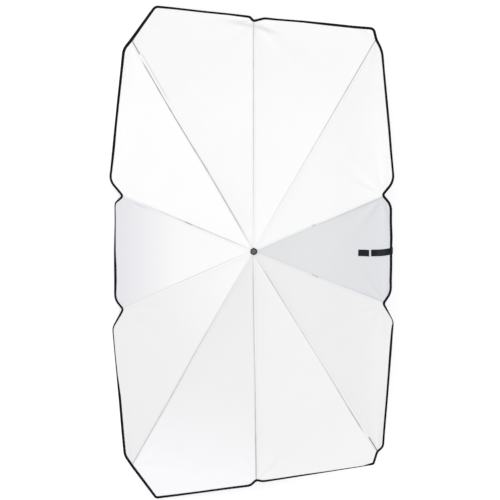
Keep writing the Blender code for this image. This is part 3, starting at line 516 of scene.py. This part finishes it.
def half_gore(gore, half, rows=60, columns=24):
    """A flat grid over half a gore (0 beside its first rib, 1 beside its second): (points, quads)."""
    across, total = shares(FABRIC_EDGE[gore], gore)
    width = np.linalg.norm(tip(next_rib(gore)) - tip(gore))
    edge = across if half == 0 else 1 - across
    order = np.argsort(edge)
    edge, total = edge[order], total[order]
    near = [0.0] + [c / width for c in SEAM_COLUMNS]
    own = [e for e in edge if near[-1] * 1.4 < e < 0.49]
    even = np.linspace(near[-1] * 1.5, 0.5, columns)
    spread = sorted(set(np.round(list(even) + own, 5)))
    kept = [spread[0]]
    for value in spread[1:]:
        if value - kept[-1] > 0.008:
            kept.append(value)
    kept[-1] = 0.5
    columns_at_rim = near + kept
    first, second = (tip(gore), tip(next_rib(gore))) if half == 0 else (tip(next_rib(gore)), tip(gore))
    hole = HUB_HOLE_R / max(REACH[gore], REACH[next_rib(gore)])
    levels = sorted([row / rows for row in range(rows + 1)]
                    + [1 - quarter / (4 * rows) for quarter in RIM_ROWS])
    grid = []
    for height in levels:
        line = []
        for i, share in enumerate(columns_at_rim):
            rim = np.interp(share, edge, total)
            level = hole + (rim - hole) * height
            if i < len(near):
                limit = kept[0] * i / len(near)
                share = min(near[i] / max(level, 1e-4), limit)
            line.append((first * (1 - share) + second * share) * level)
        grid.append(line)
    count = len(columns_at_rim)
    points = [p for line in grid for p in line]
    quads = []
    for row in range(len(levels) - 1):
        for i in range(count - 1):
            a = row * count + i
            quad = (a, a + count, a + count + 1, a + 1)
            quads.append(quad if half == 1 else quad[::-1])
    return np.array(points), quads


def clip(points, quads, rib, low, high):
    """The polygons between two lines square to a rib, with the edges on them cut exactly."""
    away = direction(rib)
    vertices = [tuple(p) for p in points]
    found = {}

    def crossing(i, j, level):
        key = (min(i, j), max(i, j), level)
        if key not in found:
            p, q = np.array(vertices[key[0]]), np.array(vertices[key[1]])
            share = (level - p @ away) / ((q - p) @ away)
            found[key] = len(vertices)
            vertices.append(tuple(p + (q - p) * share))
        return found[key]

    polygons = [tuple(q) for q in quads]
    for level, sign in ((low, 1.0), (high, -1.0)):
        kept = []
        for polygon in polygons:
            side = [sign * (np.dot(vertices[i], away) - level) for i in polygon]
            if min(side) >= -1e-9:
                kept.append(polygon)
                continue
            if max(side) <= 1e-9:
                continue
            cut = []
            for k, i in enumerate(polygon):
                j, here, there = polygon[(k + 1) % len(polygon)], side[k], side[(k + 1) % len(polygon)]
                if here >= 0:
                    cut.append(i)
                if (here > 0) != (there > 0) and abs(here) > 1e-9 and abs(there) > 1e-9:
                    cut.append(crossing(i, j, level))
            if len(set(cut)) > 2:
                kept.append(tuple(dict.fromkeys(cut)))
        polygons = kept
    return np.array(vertices), polygons


def merged(parts):
    """Joins flat pieces of one sector, sharing identical points: (points, gores of points, polygons)."""
    index, points, gores, polygons = {}, [], [], []
    for gore, vertices, faces in parts:
        for face in faces:
            ring = []
            for i in face:
                key = (round(vertices[i][0] * 1e6), round(vertices[i][1] * 1e6))
                if key not in index:
                    index[key] = len(points)
                    points.append(vertices[i])
                    gores.append(gore)
                ring.append(index[key])
            ring = list(dict.fromkeys(ring))
            if len(ring) > 2:
                polygons.append(tuple(ring))
    return np.array(points), gores, polygons


def boundary_edges(polygons):
    seen = {}
    for polygon in polygons:
        for k, i in enumerate(polygon):
            j = polygon[(k + 1) % len(polygon)]
            seen[(i, j)] = seen.get((i, j), 0) + 1
    return [(i, j) for i, j in seen if (j, i) not in seen]


def area_of(points, polygons):
    total = 0.0
    for polygon in polygons:
        corner = points[polygon[0]]
        for i, j in zip(polygon[1:], polygon[2:]):
            total += np.linalg.norm(np.cross(points[i] - corner, points[j] - corner)) / 2
    return total


def new_object(name, points, faces, materials, map_points, smooth_deg=SMOOTH_DEG):
    """A smooth object from world points; map_points gives each point its place on the cloth, in metres."""
    mesh = bpy.data.meshes.new(name)
    mesh.from_pydata(points, [], faces)
    for material in materials:
        mesh.materials.append(material)
    point_of_loop = np.zeros(len(mesh.loops), int)
    mesh.loops.foreach_get("vertex_index", point_of_loop)
    layer = mesh.uv_layers.new(name="cloth")
    layer.data.foreach_set("uv", np.asarray(map_points, float)[point_of_loop].ravel())
    mesh.shade_smooth()
    mesh.set_sharp_from_angle(angle=math.radians(smooth_deg))
    obj = bpy.data.objects.new(name, mesh)
    bpy.context.scene.collection.objects.link(obj)
    return obj


def cloth_piece(name, rib, parts, face_material, back_material):
    """A thin closed sheet from flat parts, white outside and dark inside, mapped in metres along the rib."""
    flat, gores, polygons = merged(parts)
    polygons = [(p[0], i, j) for p in polygons for i, j in zip(p[1:], p[2:])]
    middle = np.zeros((len(flat), 3))
    middle[:, :2] = flat
    gores = np.array(gores)
    for gore in sorted(set(gores)):
        chosen = gores == gore
        middle[chosen, 2] = canopy_height(flat[chosen], gore)
    count = len(flat)
    lift = np.array([0.0, 0.0, FABRIC_THICK / 2])
    local = np.concatenate([middle + lift, middle - lift])
    faces = list(polygons) + [tuple(i + count for i in reversed(p)) for p in polygons]
    walls = [(j, i, i + count, j + count) for i, j in boundary_edges(polygons)]
    rotation = np.array(TO_ROW.to_3x3())
    world = local @ rotation.T + np.array(TO_ROW.translation)
    along, aside = flat @ direction(rib), flat @ sideways(rib)
    both_sides = np.tile(np.stack([aside, along], axis=1), (2, 1))
    obj = new_object(name, world.tolist(), faces + walls, [face_material, back_material], both_sides,
                     CLOTH_SMOOTH_DEG)
    back = [0] * len(polygons) + [1] * len(polygons) + [0] * len(walls)
    obj.data.polygons.foreach_set("material_index", back)
    size = (float(aside.max() - aside.min()), float(along.max() - along.min()))
    return obj, size, area_of(middle, polygons)


def narrows(obj):
    """Gives the piece its own copy of its mesh."""
    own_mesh(obj)


def canopy(materials):
    pieces = {}
    for rib in RIB_ORDER:
        halves = [(rib, *half_gore(rib, 0)), (last_rib(rib), *half_gore(last_rib(rib), 1))]
        levels = [-1.0] + [fold[0] for fold in rib_folds(rib)] + [2.0]
        for section, low, high in zip(sections_of(rib), levels, levels[1:]):
            parts = [(gore, *clip(points, quads, rib, low, high)) for gore, points, quads in halves]
            obj, size, area = cloth_piece(f"canopy_{section}_{rib}", rib, parts, materials[f"fabric_{rib}"],
                                          materials["lining"])
            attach(obj, f"{section}_{rib}")
            narrows(obj)
            if section == "inner":
                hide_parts(f"gore_{rib}")
            pieces[section, rib] = obj, size, area
    return pieces


def binding_section():
    """Cross-section of the folded tape: (distance in from the rim, height), round at the rim."""
    half, width = BINDING_THICK / 2, BINDING_WIDTH
    return [(width, half * 0.75), (width - 0.0003, half), (width * 0.55, half * 1.12), (0.0011, half),
            (0.0003, half * 0.6), (0.0, 0.0), (0.0003, -half * 0.6), (0.0011, -half),
            (width - 0.0003, -half), (width, -half * 0.75)]


def run_lengths(points):
    lengths = [0.0]
    for here, there in zip(points, points[1:]):
        lengths.append(lengths[-1] + math.dist(here, there))
    return lengths


def swept(name, rings, material, across=None):
    """A capped solid swept through rings of local points; across is each ring point's place on the map."""
    count = len(rings[0])
    last = (len(rings) - 1) * count
    faces = []
    for k in range(0, last, count):
        for i in range(count):
            j = (i + 1) % count
            faces.append((k + j, k + i, k + count + i, k + count + j))
    faces += [tuple(range(count)), tuple(range(last + count - 1, last - 1, -1))]
    across = across or run_lengths(rings[0])
    map_points = [(a, along) for along in run_lengths([ring[0] for ring in rings]) for a in across]
    points = [tuple(TO_ROW @ Vector(p)) for ring in rings for p in ring]
    return new_object(name, points, faces, [material], map_points)


def binding(rib, lines, material):
    """The tape round the part of the rim that a rib's sector holds, from one gore's middle to the next's."""
    before = last_rib(rib)
    path = [(before, i) for i in range(MIDDLE_POINT[before], len(lines[0][before]) - 1)]
    path += [(rib, i) for i in range(MIDDLE_POINT[rib] + 1)]
    section = binding_section()
    rings = []
    for gore, i in path:
        rim, inner = lines[0][gore][i], lines[1][gore][i]
        share = around(BINDING_SHARES, rim)
        points = [rim + (inner - rim) * (distance / BINDING_WIDTH * share) for distance, _ in section]
        rings.append([(*point, float(canopy_height([point], gore)[0]) + height)
                      for point, (_, height) in zip(points, section)])
    obj = swept(f"binding_{rib}", rings, material, [distance for distance, _ in section])
    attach(obj, f"outer_{rib}")
    narrows(obj)
    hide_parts(BINDING_NODES[rib])
    return obj


def webbing(node, start, length, width, thickness, lift, begin, bend, material):
    """A flat strip of webbing along X over the right gore, with rounded edges and its far end bent aside."""
    columns, rows = 28, 12
    vertices = []
    for k in range(columns + 1):
        share = k / columns
        x, centre = start + length * share, begin + bend * share**3
        base = float(canopy_height([(x, centre)], STRAP_GORE)[0]) + lift
        upper, lower = [], []
        for r in range(rows + 1):
            across = 2 * r / rows - 1
            y = centre + width / 2 * across
            edge = min(1.0, (1 - abs(across)) * width / 2 / WEBBING_CORNER,
                       min(share, 1 - share) * length / WEBBING_CORNER + 0.25)
            rise = 0.55 + 0.45 * math.sqrt(max(0.0, 1 - (1 - max(0.0, edge)) ** 2))
            upper.append((x, y, base + thickness * rise))
            lower.append((x, y, base))
        vertices += upper + lower
    ring = 2 * (rows + 1)
    faces = []
    for k in range(columns):
        a, b = k * ring, (k + 1) * ring
        for r in range(rows):
            faces.append((a + r, b + r, b + r + 1, a + r + 1))
            low_a, low_b = a + rows + 1, b + rows + 1
            faces.append((low_a + r + 1, low_b + r + 1, low_b + r, low_a + r))
        faces.append((a, a + rows + 1, b + rows + 1, b))
        faces.append((b + rows, b + ring - 1, a + ring - 1, a + rows))
    first = list(range(rows + 1)) + [ring - 1 - r for r in range(rows + 1)]
    faces += [tuple(first), tuple(columns * ring + i for i in reversed(first))]
    obj = new_object(f"{node}_cloth", [tuple(TO_ROW @ Vector(v)) for v in vertices], faces, [material],
                     [(x - start, y - begin) for x, y, _ in vertices])
    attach(obj, f"outer_{STRAP_RIB}")
    narrows(obj)
    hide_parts(node)
    return obj


def tip_pocket(rib, material):
    """The cloth sheath sewn under the canopy that holds the rib's tip cap."""
    away, side = direction(rib), sideways(rib)
    end = REACH[rib] - BINDING_WIDTH - 0.0005
    rings = []
    for step in range(9):
        share = step / 8
        reach = end - POCKET_LENGTH * (1 - share)
        open_end = 1.0 + 0.12 * (1 - share) ** 2
        centre = away * reach
        outer, inner = [], []
        for k in range(13):
            angle = math.pi * k / 12
            flare = math.cos(angle) * abs(math.cos(angle)) ** 0.4
            across = POCKET_WIDTH / 2 * flare * open_end
            drop = POCKET_DEPTH * math.sin(angle) ** 0.8 * open_end
            gore = rib if across > 0 else last_rib(rib)
            top = float(canopy_height([centre + side * across], gore)[0]) - FABRIC_THICK / 2 - 0.0002
            outer.append((*(centre + side * across), top - drop - 0.0004))
            inner.append((*(centre + side * across * 0.86), top - drop * 0.90 - 0.0001))
        rings.append(outer + inner[::-1])
    obj = swept(f"tip_pocket_{rib}", rings, material)
    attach(obj, f"outer_{rib}")
    return obj


def thread_tie(rib, section, reach, material):
    """Three turns of thread that hold the seam to the rib."""
    away, side = direction(rib), sideways(rib)
    points = rib_points(f"{section}_rib_{rib}", rib)
    first, last = min(points)[0], max(points)[0]
    low_first = min(height for at, height in points if at < first + RIB_END_ZONE)
    low_last = min(height for at, height in points if at > last - RIB_END_ZONE)
    low = low_first + (low_last - low_first) * (reach - first) / (last - first) - TIE_UNDER_RIB
    rings = []
    for k in range(TIE_TURNS * TIE_STEPS + 1):
        angle = 2 * math.pi * k / TIE_STEPS
        at = reach + (k / TIE_STEPS - TIE_TURNS / 2) * TIE_PITCH
        top = float(canopy_height([away * at], rib)[0]) - FABRIC_THICK / 2
        middle, half = (top + low) / 2, (top - low) / 2
        c, s = math.cos(angle), math.sin(angle)
        across = TIE_HALF_WIDTH * math.copysign(abs(c) ** TIE_CORNER, c)
        height = half * math.copysign(abs(s) ** TIE_CORNER, s)
        ring = []
        for n in range(6):
            turn = 2 * math.pi * n / 6
            radial = 1 + TIE_THREAD_R / TIE_HALF_WIDTH * math.cos(turn)
            point = away * (at + TIE_THREAD_R * math.sin(turn)) + side * across * radial
            ring.append((*point, middle + height * (1 + TIE_THREAD_R / half * math.cos(turn))))
        rings.append(ring[::-1])
    obj = swept(f"thread_tie_{section}_{rib}", rings, material)
    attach(obj, f"{section}_{rib}")
    return obj


class Nodes:
    """A short way to write a material's node graph."""

    def __init__(self, name, color, roughness, metallic=0.0, specular=0.5):
        self.material = bpy.data.materials.new(name)
        self.material.use_nodes = True
        self.tree = self.material.node_tree
        self.shader = self.tree.nodes["Principled BSDF"]
        self.shader.inputs["Base Color"].default_value = (*color, 1.0)
        self.shader.inputs["Roughness"].default_value = roughness
        self.shader.inputs["Metallic"].default_value = metallic
        self.shader.inputs["Specular IOR Level"].default_value = specular

    def link(self, value, socket):
        if isinstance(value, bpy.types.NodeSocket):
            self.tree.links.new(value, socket)
        else:
            socket.default_value = value

    def base_color(self, color):
        self.link(color, self.shader.inputs["Base Color"])

    def math(self, operation, first, second=0.0):
        node = self.tree.nodes.new("ShaderNodeMath")
        node.operation = operation
        self.link(first, node.inputs[0])
        self.link(second, node.inputs[1])
        return node.outputs[0]

    def product(self, first, *others):
        for other in others:
            first = self.math("MULTIPLY", first, other)
        return first

    def gap(self, value, place):
        """How far a value is from a place, on either side of it."""
        return self.math("ABSOLUTE", self.math("SUBTRACT", value, place))

    def vector_math(self, operation, first, second=(0.0, 0.0, 0.0)):
        node = self.tree.nodes.new("ShaderNodeVectorMath")
        node.operation = operation
        self.link(first, node.inputs[0])
        node.inputs[1].default_value = second
        return node.outputs["Value" if operation == "LENGTH" else "Vector"]

    def cloth_map(self):
        """(across, along) in metres."""
        uv = self.tree.nodes.new("ShaderNodeUVMap")
        uv.uv_map = "cloth"
        split = self.tree.nodes.new("ShaderNodeSeparateXYZ")
        self.link(uv.outputs[0], split.inputs[0])
        return uv.outputs[0], split.outputs[0], split.outputs[1]

    def object_point(self):
        return self.tree.nodes.new("ShaderNodeTexCoord").outputs["Object"]

    def noise(self, vector, scale, detail=2.0):
        node = self.tree.nodes.new("ShaderNodeTexNoise")
        self.link(vector, node.inputs["Vector"])
        node.inputs["Scale"].default_value = scale
        node.inputs["Detail"].default_value = detail
        return node.outputs["Fac"]

    def stretched(self, vector, across, along):
        node = self.tree.nodes.new("ShaderNodeMapping")
        self.link(vector, node.inputs["Vector"])
        node.inputs["Scale"].default_value = (across, along, 1.0)
        return node.outputs[0]

    def ramp(self, value, low, high, start=0.0, end=1.0):
        node = self.tree.nodes.new("ShaderNodeMapRange")
        node.interpolation_type = "SMOOTHSTEP"
        self.link(value, node.inputs["Value"])
        node.inputs["From Min"].default_value = low
        node.inputs["From Max"].default_value = high
        node.inputs["To Min"].default_value = start
        node.inputs["To Max"].default_value = end
        return node.outputs[0]

    def fade(self, value, low, high):
        """1 up to low, 0 from high."""
        return self.ramp(value, low, high, 1.0, 0.0)

    def stops(self, value, stops):
        """A colour, or a grey level, along a line: (place, value) pairs blended evenly."""
        node = self.tree.nodes.new("ShaderNodeValToRGB")
        self.link(value, node.inputs["Fac"])
        elements = node.color_ramp.elements
        elements[0].position, elements[1].position = stops[0][0], stops[-1][0]
        for place, _ in stops[1:-1]:
            elements.new(place)
        for element, (_, level) in zip(sorted(elements, key=lambda e: e.position), stops):
            element.color = (*level, 1.0) if isinstance(level, tuple) else (level, level, level, 1.0)
        return node.outputs["Color"]

    def mix(self, factor, first, second):
        node = self.tree.nodes.new("ShaderNodeMix")
        node.data_type = "RGBA"
        self.link(factor, node.inputs["Factor"])
        for value, socket in ((first, node.inputs["A"]), (second, node.inputs["B"])):
            self.link(value if isinstance(value, bpy.types.NodeSocket) else (*value, 1.0), socket)
        return node.outputs["Result"]

    def bump(self, height, depth):
        node = self.tree.nodes.new("ShaderNodeBump")
        node.inputs["Strength"].default_value = 1.0
        node.inputs["Distance"].default_value = depth
        self.link(height, node.inputs["Height"])
        self.tree.links.new(node.outputs[0], self.shader.inputs["Normal"])

    def weave(self, across, along, pitch):
        """Plain weave: 0 to 1, from two crossed rows of threads."""
        turns = 2 * math.pi / pitch
        warp, weft = [self.math("SINE", self.product(place, turns)) for place in (across, along)]
        return self.math("ADD", self.product(warp, weft, 0.5), 0.5)

    def dashes(self, distance, along, pitch):
        """A row of stitches: 1 on a thread, 0 elsewhere."""
        line = self.fade(distance, STITCH_HALF * 0.5, STITCH_HALF)
        step = self.math("FRACT", self.math("DIVIDE", along, pitch))
        return self.product(line, self.fade(self.gap(step, 0.5), 0.30, 0.36))


def gore_shade(nodes, gore, across, along, side):
    """The painted shade and colour of the coating over the half of a gore on one side (1 or -1) of a rib."""
    half, depth = half_angle(gore), gore_depth(gore)
    reach = nodes.math("ADD", nodes.product(along, math.cos(half) / depth),
                       nodes.product(across, side * math.sin(half) / depth))
    return nodes.stops(reach, list(zip(TONE_PLACES, GORE_TONE_AND_SHADE[gore])))


def plain_cloth(nodes, rib, vector, across, along):
    """The coating's colour before its seams: two gores' tones with their painted shade, slow unevenness and faint
    streaks.
    """
    shade = nodes.mix(nodes.ramp(across, -0.0006, 0.0006),
                      gore_shade(nodes, last_rib(rib), across, along, -1),
                      gore_shade(nodes, rib, across, along, 1))
    uneven = nodes.ramp(nodes.noise(vector, 9.0, 3.0), 0.3, 0.7, 0.0, 0.05)
    streak = nodes.ramp(nodes.noise(nodes.stretched(vector, 420.0, 6.0), 1.0), 0.35, 0.9, 0.0, 0.08)
    return nodes.mix(streak, nodes.mix(uneven, shade, FABRIC_SHADOW), FABRIC_SHADOW)


def notch_shade(nodes, rib, shade, aside, across, along):
    """Darkens the cloth along the two creases that run from a tip's notch."""
    (before, after), below = NOTCH_SHADE[rib]
    for (slope, strength), ahead in ((before, nodes.fade(across, -0.001, 0.0)),
                                     (after, nodes.ramp(across, 0.0, 0.001))):
        crease = nodes.math("ADD", nodes.product(aside, slope), REACH[rib] - below)
        soft = nodes.product(nodes.fade(nodes.gap(along, crease), 0.0, 0.015), nodes.fade(aside, 0.03, 0.115))
        shade = nodes.mix(nodes.product(soft, soft, ahead, strength), shade, CREASE_SHADOW)
    return shade


def fabric_material(rib):
    """White coated cloth of one rib's sector.

    At the rib lies a grey sewn seam between two rows of stitches, darker over the last of the rib where the
    tip pocket is sewn on. The side ribs' fold shows through as a dark dash.
    """
    nodes = Nodes(f"white_fabric_{rib}", (0.895, 0.895, 0.895), 0.62)
    vector, across, along = nodes.cloth_map()
    aside = nodes.math("ABSOLUTE", across)
    end = REACH[rib]
    # painted shade: each gore's tone is lighter or darker as it faces the light
    shade = plain_cloth(nodes, rib, vector, across, along)

    near, middle, far = SEAM_STRENGTH[rib]
    darkness = nodes.stops(nodes.math("DIVIDE", along, end),
                           [(0.04, near * 0.3), (0.14, near), (0.5, middle), (0.85, far)])
    pocket = TIP_POCKET_STRENGTH.get(rib, 0.0)
    if pocket > 0.5:
        darkness = nodes.product(darkness, nodes.ramp(along, end - 0.100, end - 0.062, 1.0, 0.1))
    near_shift, far_shift, low, high = SEAM_SHIFT[rib]
    off_seam = nodes.gap(across, nodes.ramp(along, low, high, near_shift, far_shift))
    wander = nodes.product(nodes.math("SUBTRACT", nodes.noise(vector, 30.0), 0.5), 0.0012)
    line = nodes.fade(nodes.math("ADD", off_seam, wander), 0.0011, 0.0027)
    patchy = nodes.ramp(nodes.noise(vector, 22.0), 0.25, 0.75, 0.72, 1.0)
    shade = nodes.mix(nodes.product(line, patchy, darkness), shade, SEAM_DARK)
    if rib in SECOND_LINE:
        place, low, high, strength = SECOND_LINE[rib]
        second = nodes.product(nodes.fade(nodes.gap(across, place), 0.0008, 0.0030),
                               nodes.ramp(along, low, low + 0.04), nodes.fade(along, high - 0.02, high))
        shade = nodes.mix(nodes.product(second, strength), shade, SEAM_DARK)
    if rib in NOTCH_SHADE:
        shade = notch_shade(nodes, rib, shade, aside, across, along)
    pocket_line = nodes.product(nodes.fade(aside, 0.0009, 0.0024),
                                nodes.ramp(along, end - 0.058, end - 0.048))
    shade = nodes.mix(nodes.product(pocket_line, pocket), shade, POCKET_DARK)
    if rib in FOLD_DASH:
        low, high, strength = FOLD_DASH[rib]
        dash = nodes.product(nodes.ramp(along, low, low + 0.004), nodes.fade(along, high - 0.004, high),
                             nodes.fade(off_seam, 0.0012, 0.0026))
        shade = nodes.mix(nodes.product(dash, strength), shade, FOLD_DARK)
    stitches = nodes.dashes(nodes.gap(aside, SEAM_STITCHES_AT), along, 0.003)
    nodes.base_color(nodes.mix(nodes.product(stitches, 0.25), shade, THREAD_GREY))
    cloth = nodes.weave(across, along, WEAVE_PITCH)
    nodes.bump(nodes.math("ADD", nodes.product(cloth, 0.25), nodes.product(stitches, 2.0)), 0.0001)
    nodes.shader.inputs["Sheen Weight"].default_value = 0.12
    nodes.shader.inputs["Sheen Roughness"].default_value = 0.4
    return nodes.material


def lining_material():
    nodes = Nodes("dark_lining", (0.035, 0.035, 0.040), 0.55)
    vector, across, along = nodes.cloth_map()
    nodes.base_color(nodes.mix(nodes.noise(vector, 14.0, 3.0), (0.028, 0.028, 0.032), (0.044, 0.044, 0.050)))
    nodes.bump(nodes.weave(across, along, WEAVE_PITCH), 0.00006)
    nodes.shader.inputs["Sheen Weight"].default_value = 0.2
    return nodes.material


def tape_material():
    """Narrow woven tape: near black with a blue cast, ribbed across, one row of stitches."""
    nodes = Nodes("binding_tape", (0.004, 0.005, 0.010), 0.8, specular=0.12)
    vector, across, along = nodes.cloth_map()
    color = nodes.mix(nodes.noise(vector, 40.0, 3.0), (0.002, 0.002, 0.004), (0.005, 0.008, 0.016))
    stitches = nodes.dashes(nodes.gap(across, TAPE_STITCHES_AT), along, 0.0032)
    nodes.base_color(nodes.mix(nodes.product(stitches, 0.7), color, (0.014, 0.016, 0.022)))
    ribs = nodes.math("SINE", nodes.product(along, 2 * math.pi / WEAVE_PITCH))
    nodes.bump(nodes.math("ADD", nodes.product(ribs, 0.3), stitches), 0.00012)
    return nodes.material


def strap_material(name, dark, light, hooks):
    """Webbing with a twill rib and a painted sheen of light half way along; the hook patch is a field of fine
    hooks.
    """
    nodes = Nodes(name, dark, 0.72, specular=0.15)
    vector, across, along = nodes.cloth_map()
    color = nodes.mix(nodes.noise(vector, 70.0, 3.0), dark, light)
    if hooks:
        height = nodes.product(nodes.noise(vector, 1600.0, 0.0), 2.0)
    else:
        diagonal = nodes.math("ADD", across, nodes.product(along, 0.6))
        height = nodes.product(nodes.math("SINE", nodes.product(diagonal, 2 * math.pi / TWILL_PITCH)), 0.5)
        # painted sheen: a lighter band half way along the strap stands in for light on the webbing
        painted_gleam = nodes.product(nodes.ramp(across, 0.004, 0.024), nodes.fade(across, 0.036, 0.056), 0.62)
        color = nodes.mix(painted_gleam, color, (0.022, 0.032, 0.042))
    nodes.base_color(color)
    nodes.bump(height, 0.00015)
    nodes.shader.inputs["Sheen Weight"].default_value = 0.05
    return nodes.material


def solid_material(name, color, roughness, look):
    """Bare metal with fine scratches or moulded plastic with a fine grain, by the values of its look."""
    metallic, grain_scale, tone_scale, tone_share, smoother, rougher, depth = look
    nodes = Nodes(name, color, roughness, metallic)
    point = nodes.object_point()
    grain = nodes.noise(point, grain_scale)
    nodes.base_color(nodes.mix(nodes.noise(point, tone_scale), color, tuple(c * tone_share for c in color)))
    nodes.link(nodes.ramp(grain, 0.2, 0.8, roughness - smoother, roughness + rougher),
               nodes.shader.inputs["Roughness"])
    nodes.bump(grain, depth)
    return nodes.material


def cap_material():
    """Dark grey cap: its flat top a little paler than its bevelled edge, which is painted shade."""
    nodes = Nodes("cap_grey", (0.045, 0.042, 0.058), 0.45, specular=0.25)
    offset = nodes.vector_math("SUBTRACT", nodes.object_point(), HUB)
    from_axis = nodes.vector_math("LENGTH", nodes.vector_math("CROSS_PRODUCT", offset, OUTWARD))
    # painted shade: the bevel that slopes away is painted darker than the flat top
    edge = nodes.ramp(from_axis, *CAP_BEVEL)
    nodes.base_color(nodes.mix(edge, (0.078, 0.074, 0.095), (0.022, 0.020, 0.032)))
    nodes.bump(nodes.noise(nodes.object_point(), 1400.0), 0.00004)
    return nodes.material


def paint(node, material):
    mesh = frame["nodes"][node]
    if not mesh.material_slots:
        mesh.data.materials.append(material)
    for slot in mesh.material_slots:
        slot.link = "OBJECT"
        slot.material = material


def paint_frame(materials):
    for node in frame["nodes"]:
        if node.startswith(("inner_rib", "middle_rib", "stretcher")) or node.endswith("_wire"):
            paint(node, materials["rib_steel"])
        elif node.startswith("outer_rib"):
            paint(node, materials["rod"])
    paint("shaft_tube", materials["shaft_steel"])
    for node in ("crown", "runner", "handle"):
        paint(node, materials["plastic"])
    for node in ("catch_button", "handle_end_cap"):
        paint(node, materials["button_grey"])
    paint("top_cap", materials["cap_grey"])


def key_lamp():
    """A soft lamp that looks at the hub."""
    light = bpy.data.lights.new("key", "AREA")
    light.shape = "DISK"
    light.size = KEY_SIZE
    light.energy = KEY_POWER
    obj = bpy.data.objects.new("key", light)
    away = (TO_ROW.to_3x3() @ Vector(KEY_DIRECTION)).normalized()
    obj.location = HUB + away * KEY_DISTANCE
    obj.rotation_mode = "QUATERNION"
    obj.rotation_quaternion = (-away).to_track_quat("-Z", "Y")
    bpy.context.scene.collection.objects.link(obj)


def surroundings():
    """Even white light from all round, seen as pure white by the camera and in reflections."""
    world = bpy.data.worlds.new("studio")
    bpy.context.scene.world = world
    world.use_nodes = True
    tree = world.node_tree
    background = tree.nodes["Background"]
    background.inputs["Color"].default_value = (1.0, 1.0, 1.0, 1.0)
    background.inputs["Strength"].default_value = SURROUND_STRENGTH
    bright = tree.nodes.new("ShaderNodeBackground")
    bright.inputs["Strength"].default_value = 1.0
    path = tree.nodes.new("ShaderNodeLightPath")
    shown = tree.nodes.new("ShaderNodeMath")
    shown.operation = "MAXIMUM"
    choose = tree.nodes.new("ShaderNodeMixShader")
    for source, target in ((path.outputs["Is Camera Ray"], shown.inputs[0]),
                           (path.outputs["Is Glossy Ray"], shown.inputs[1]),
                           (shown.outputs[0], choose.inputs[0]), (background.outputs[0], choose.inputs[1]),
                           (bright.outputs[0], choose.inputs[2]),
                           (choose.outputs[0], tree.nodes["World Output"].inputs["Surface"])):
        tree.links.new(source, target)


def white_floor():
    """A white floor that keeps the shade's shadow."""
    mesh = bpy.data.meshes.new("floor")
    half = FLOOR_HALF
    mesh.from_pydata([(-half, -half, 0), (half, -half, 0), (half, half, 0), (-half, half, 0)], [],
                     [(0, 1, 2, 3)])
    floor = bpy.data.objects.new("floor", mesh)
    floor.location.z = -FLOOR_DROP
    bpy.context.scene.collection.objects.link(floor)
    nodes = Nodes("floor_white", (0.86, 0.86, 0.87), 0.9, specular=0.0)
    tree = nodes.tree
    glow = tree.nodes.new("ShaderNodeEmission")
    path = tree.nodes.new("ShaderNodeLightPath")
    nodes.link(nodes.product(path.outputs["Is Camera Ray"], FLOOR_GLOW), glow.inputs["Strength"])
    add = tree.nodes.new("ShaderNodeAddShader")
    nodes.link(nodes.shader.outputs[0], add.inputs[0])
    nodes.link(glow.outputs[0], add.inputs[1])
    nodes.link(add.outputs[0], tree.nodes["Material Output"].inputs["Surface"])
    mesh.materials.append(nodes.material)


def camera():
    data = bpy.data.cameras.new("camera")
    data.sensor_width = SENSOR
    data.lens = SENSOR * (CAMERA_DISTANCE + RIM_DEPTH) / (PHOTO_SIDE * METRES_PER_PIXEL)
    data.clip_end = 4 * CAMERA_DISTANCE
    obj = bpy.data.objects.new("camera", data)
    middle = PHOTO_SIDE / 2
    across, up = middle - HUB_PIXEL[0], HUB_PIXEL[1] - middle
    aim = Vector((across * METRES_PER_PIXEL, up * METRES_PER_PIXEL, 0.0))
    obj.matrix_world = TO_ROW @ Matrix.Translation(aim + Vector((0.0, 0.0, CAMERA_DISTANCE)))
    bpy.context.scene.collection.objects.link(obj)
    bpy.context.scene.camera = obj


def main():
    bpy.context.scene.view_settings.view_transform = "Standard"
    camera()
    surroundings()
    white_floor()
    key_lamp()
    materials = {
        "lining": lining_material(),
        "tape": tape_material(),
        "thread": solid_material("tie_thread", (0.05, 0.05, 0.055), 0.8, PLASTIC),
        "strap": strap_material("strap_webbing", (0.003, 0.004, 0.006), (0.008, 0.011, 0.016), False),
        "patch": strap_material("hook_patch_face", (0.009, 0.006, 0.012), (0.017, 0.013, 0.022), True),
        "rib_steel": solid_material("rib_steel", (0.55, 0.56, 0.58), 0.38, METAL),
        "shaft_steel": solid_material("shaft_steel", (0.62, 0.63, 0.65), 0.25, METAL),
        "rod": solid_material("black_rod", (0.030, 0.030, 0.032), 0.4, PLASTIC),
        "plastic": solid_material("black_plastic", (0.022, 0.022, 0.025), 0.45, PLASTIC),
        "cap_grey": cap_material(),
        "button_grey": solid_material("button_grey", (0.13, 0.13, 0.14), 0.45, PLASTIC),
    }
    for rib in RIB_ORDER:
        materials[f"fabric_{rib}"] = fabric_material(rib)
    paint_frame(materials)
    pieces = canopy(materials)
    lines = rim_lines([0.0, BINDING_WIDTH])
    for rib in RIB_ORDER:
        tape = binding(rib, lines, materials["tape"])
        pocket = tip_pocket(rib, materials["tape"])
        borders = [FIRST_TIE_FROM] + [fold[0] for fold in rib_folds(rib)] + [REACH[rib] - POCKET_LENGTH]
        for section, low, high in zip(sections_of(rib), borders, borders[1:]):
            thread_tie(rib, section, low + (high - low) * TIE_AT_SHARE, materials["thread"])
    strap = webbing("strap", STRAP_START_X, STRAP_LENGTH, STRAP_WIDTH, STRAP_THICK, STRAP_LIFT, STRAP_Y,
                    STRAP_BEND, materials["strap"])
    patch = webbing("hook_patch", PATCH_START_X, PATCH_LENGTH, PATCH_WIDTH, PATCH_THICK, PATCH_LIFT, PATCH_Y,
                    PATCH_BEND, materials["patch"])


main()
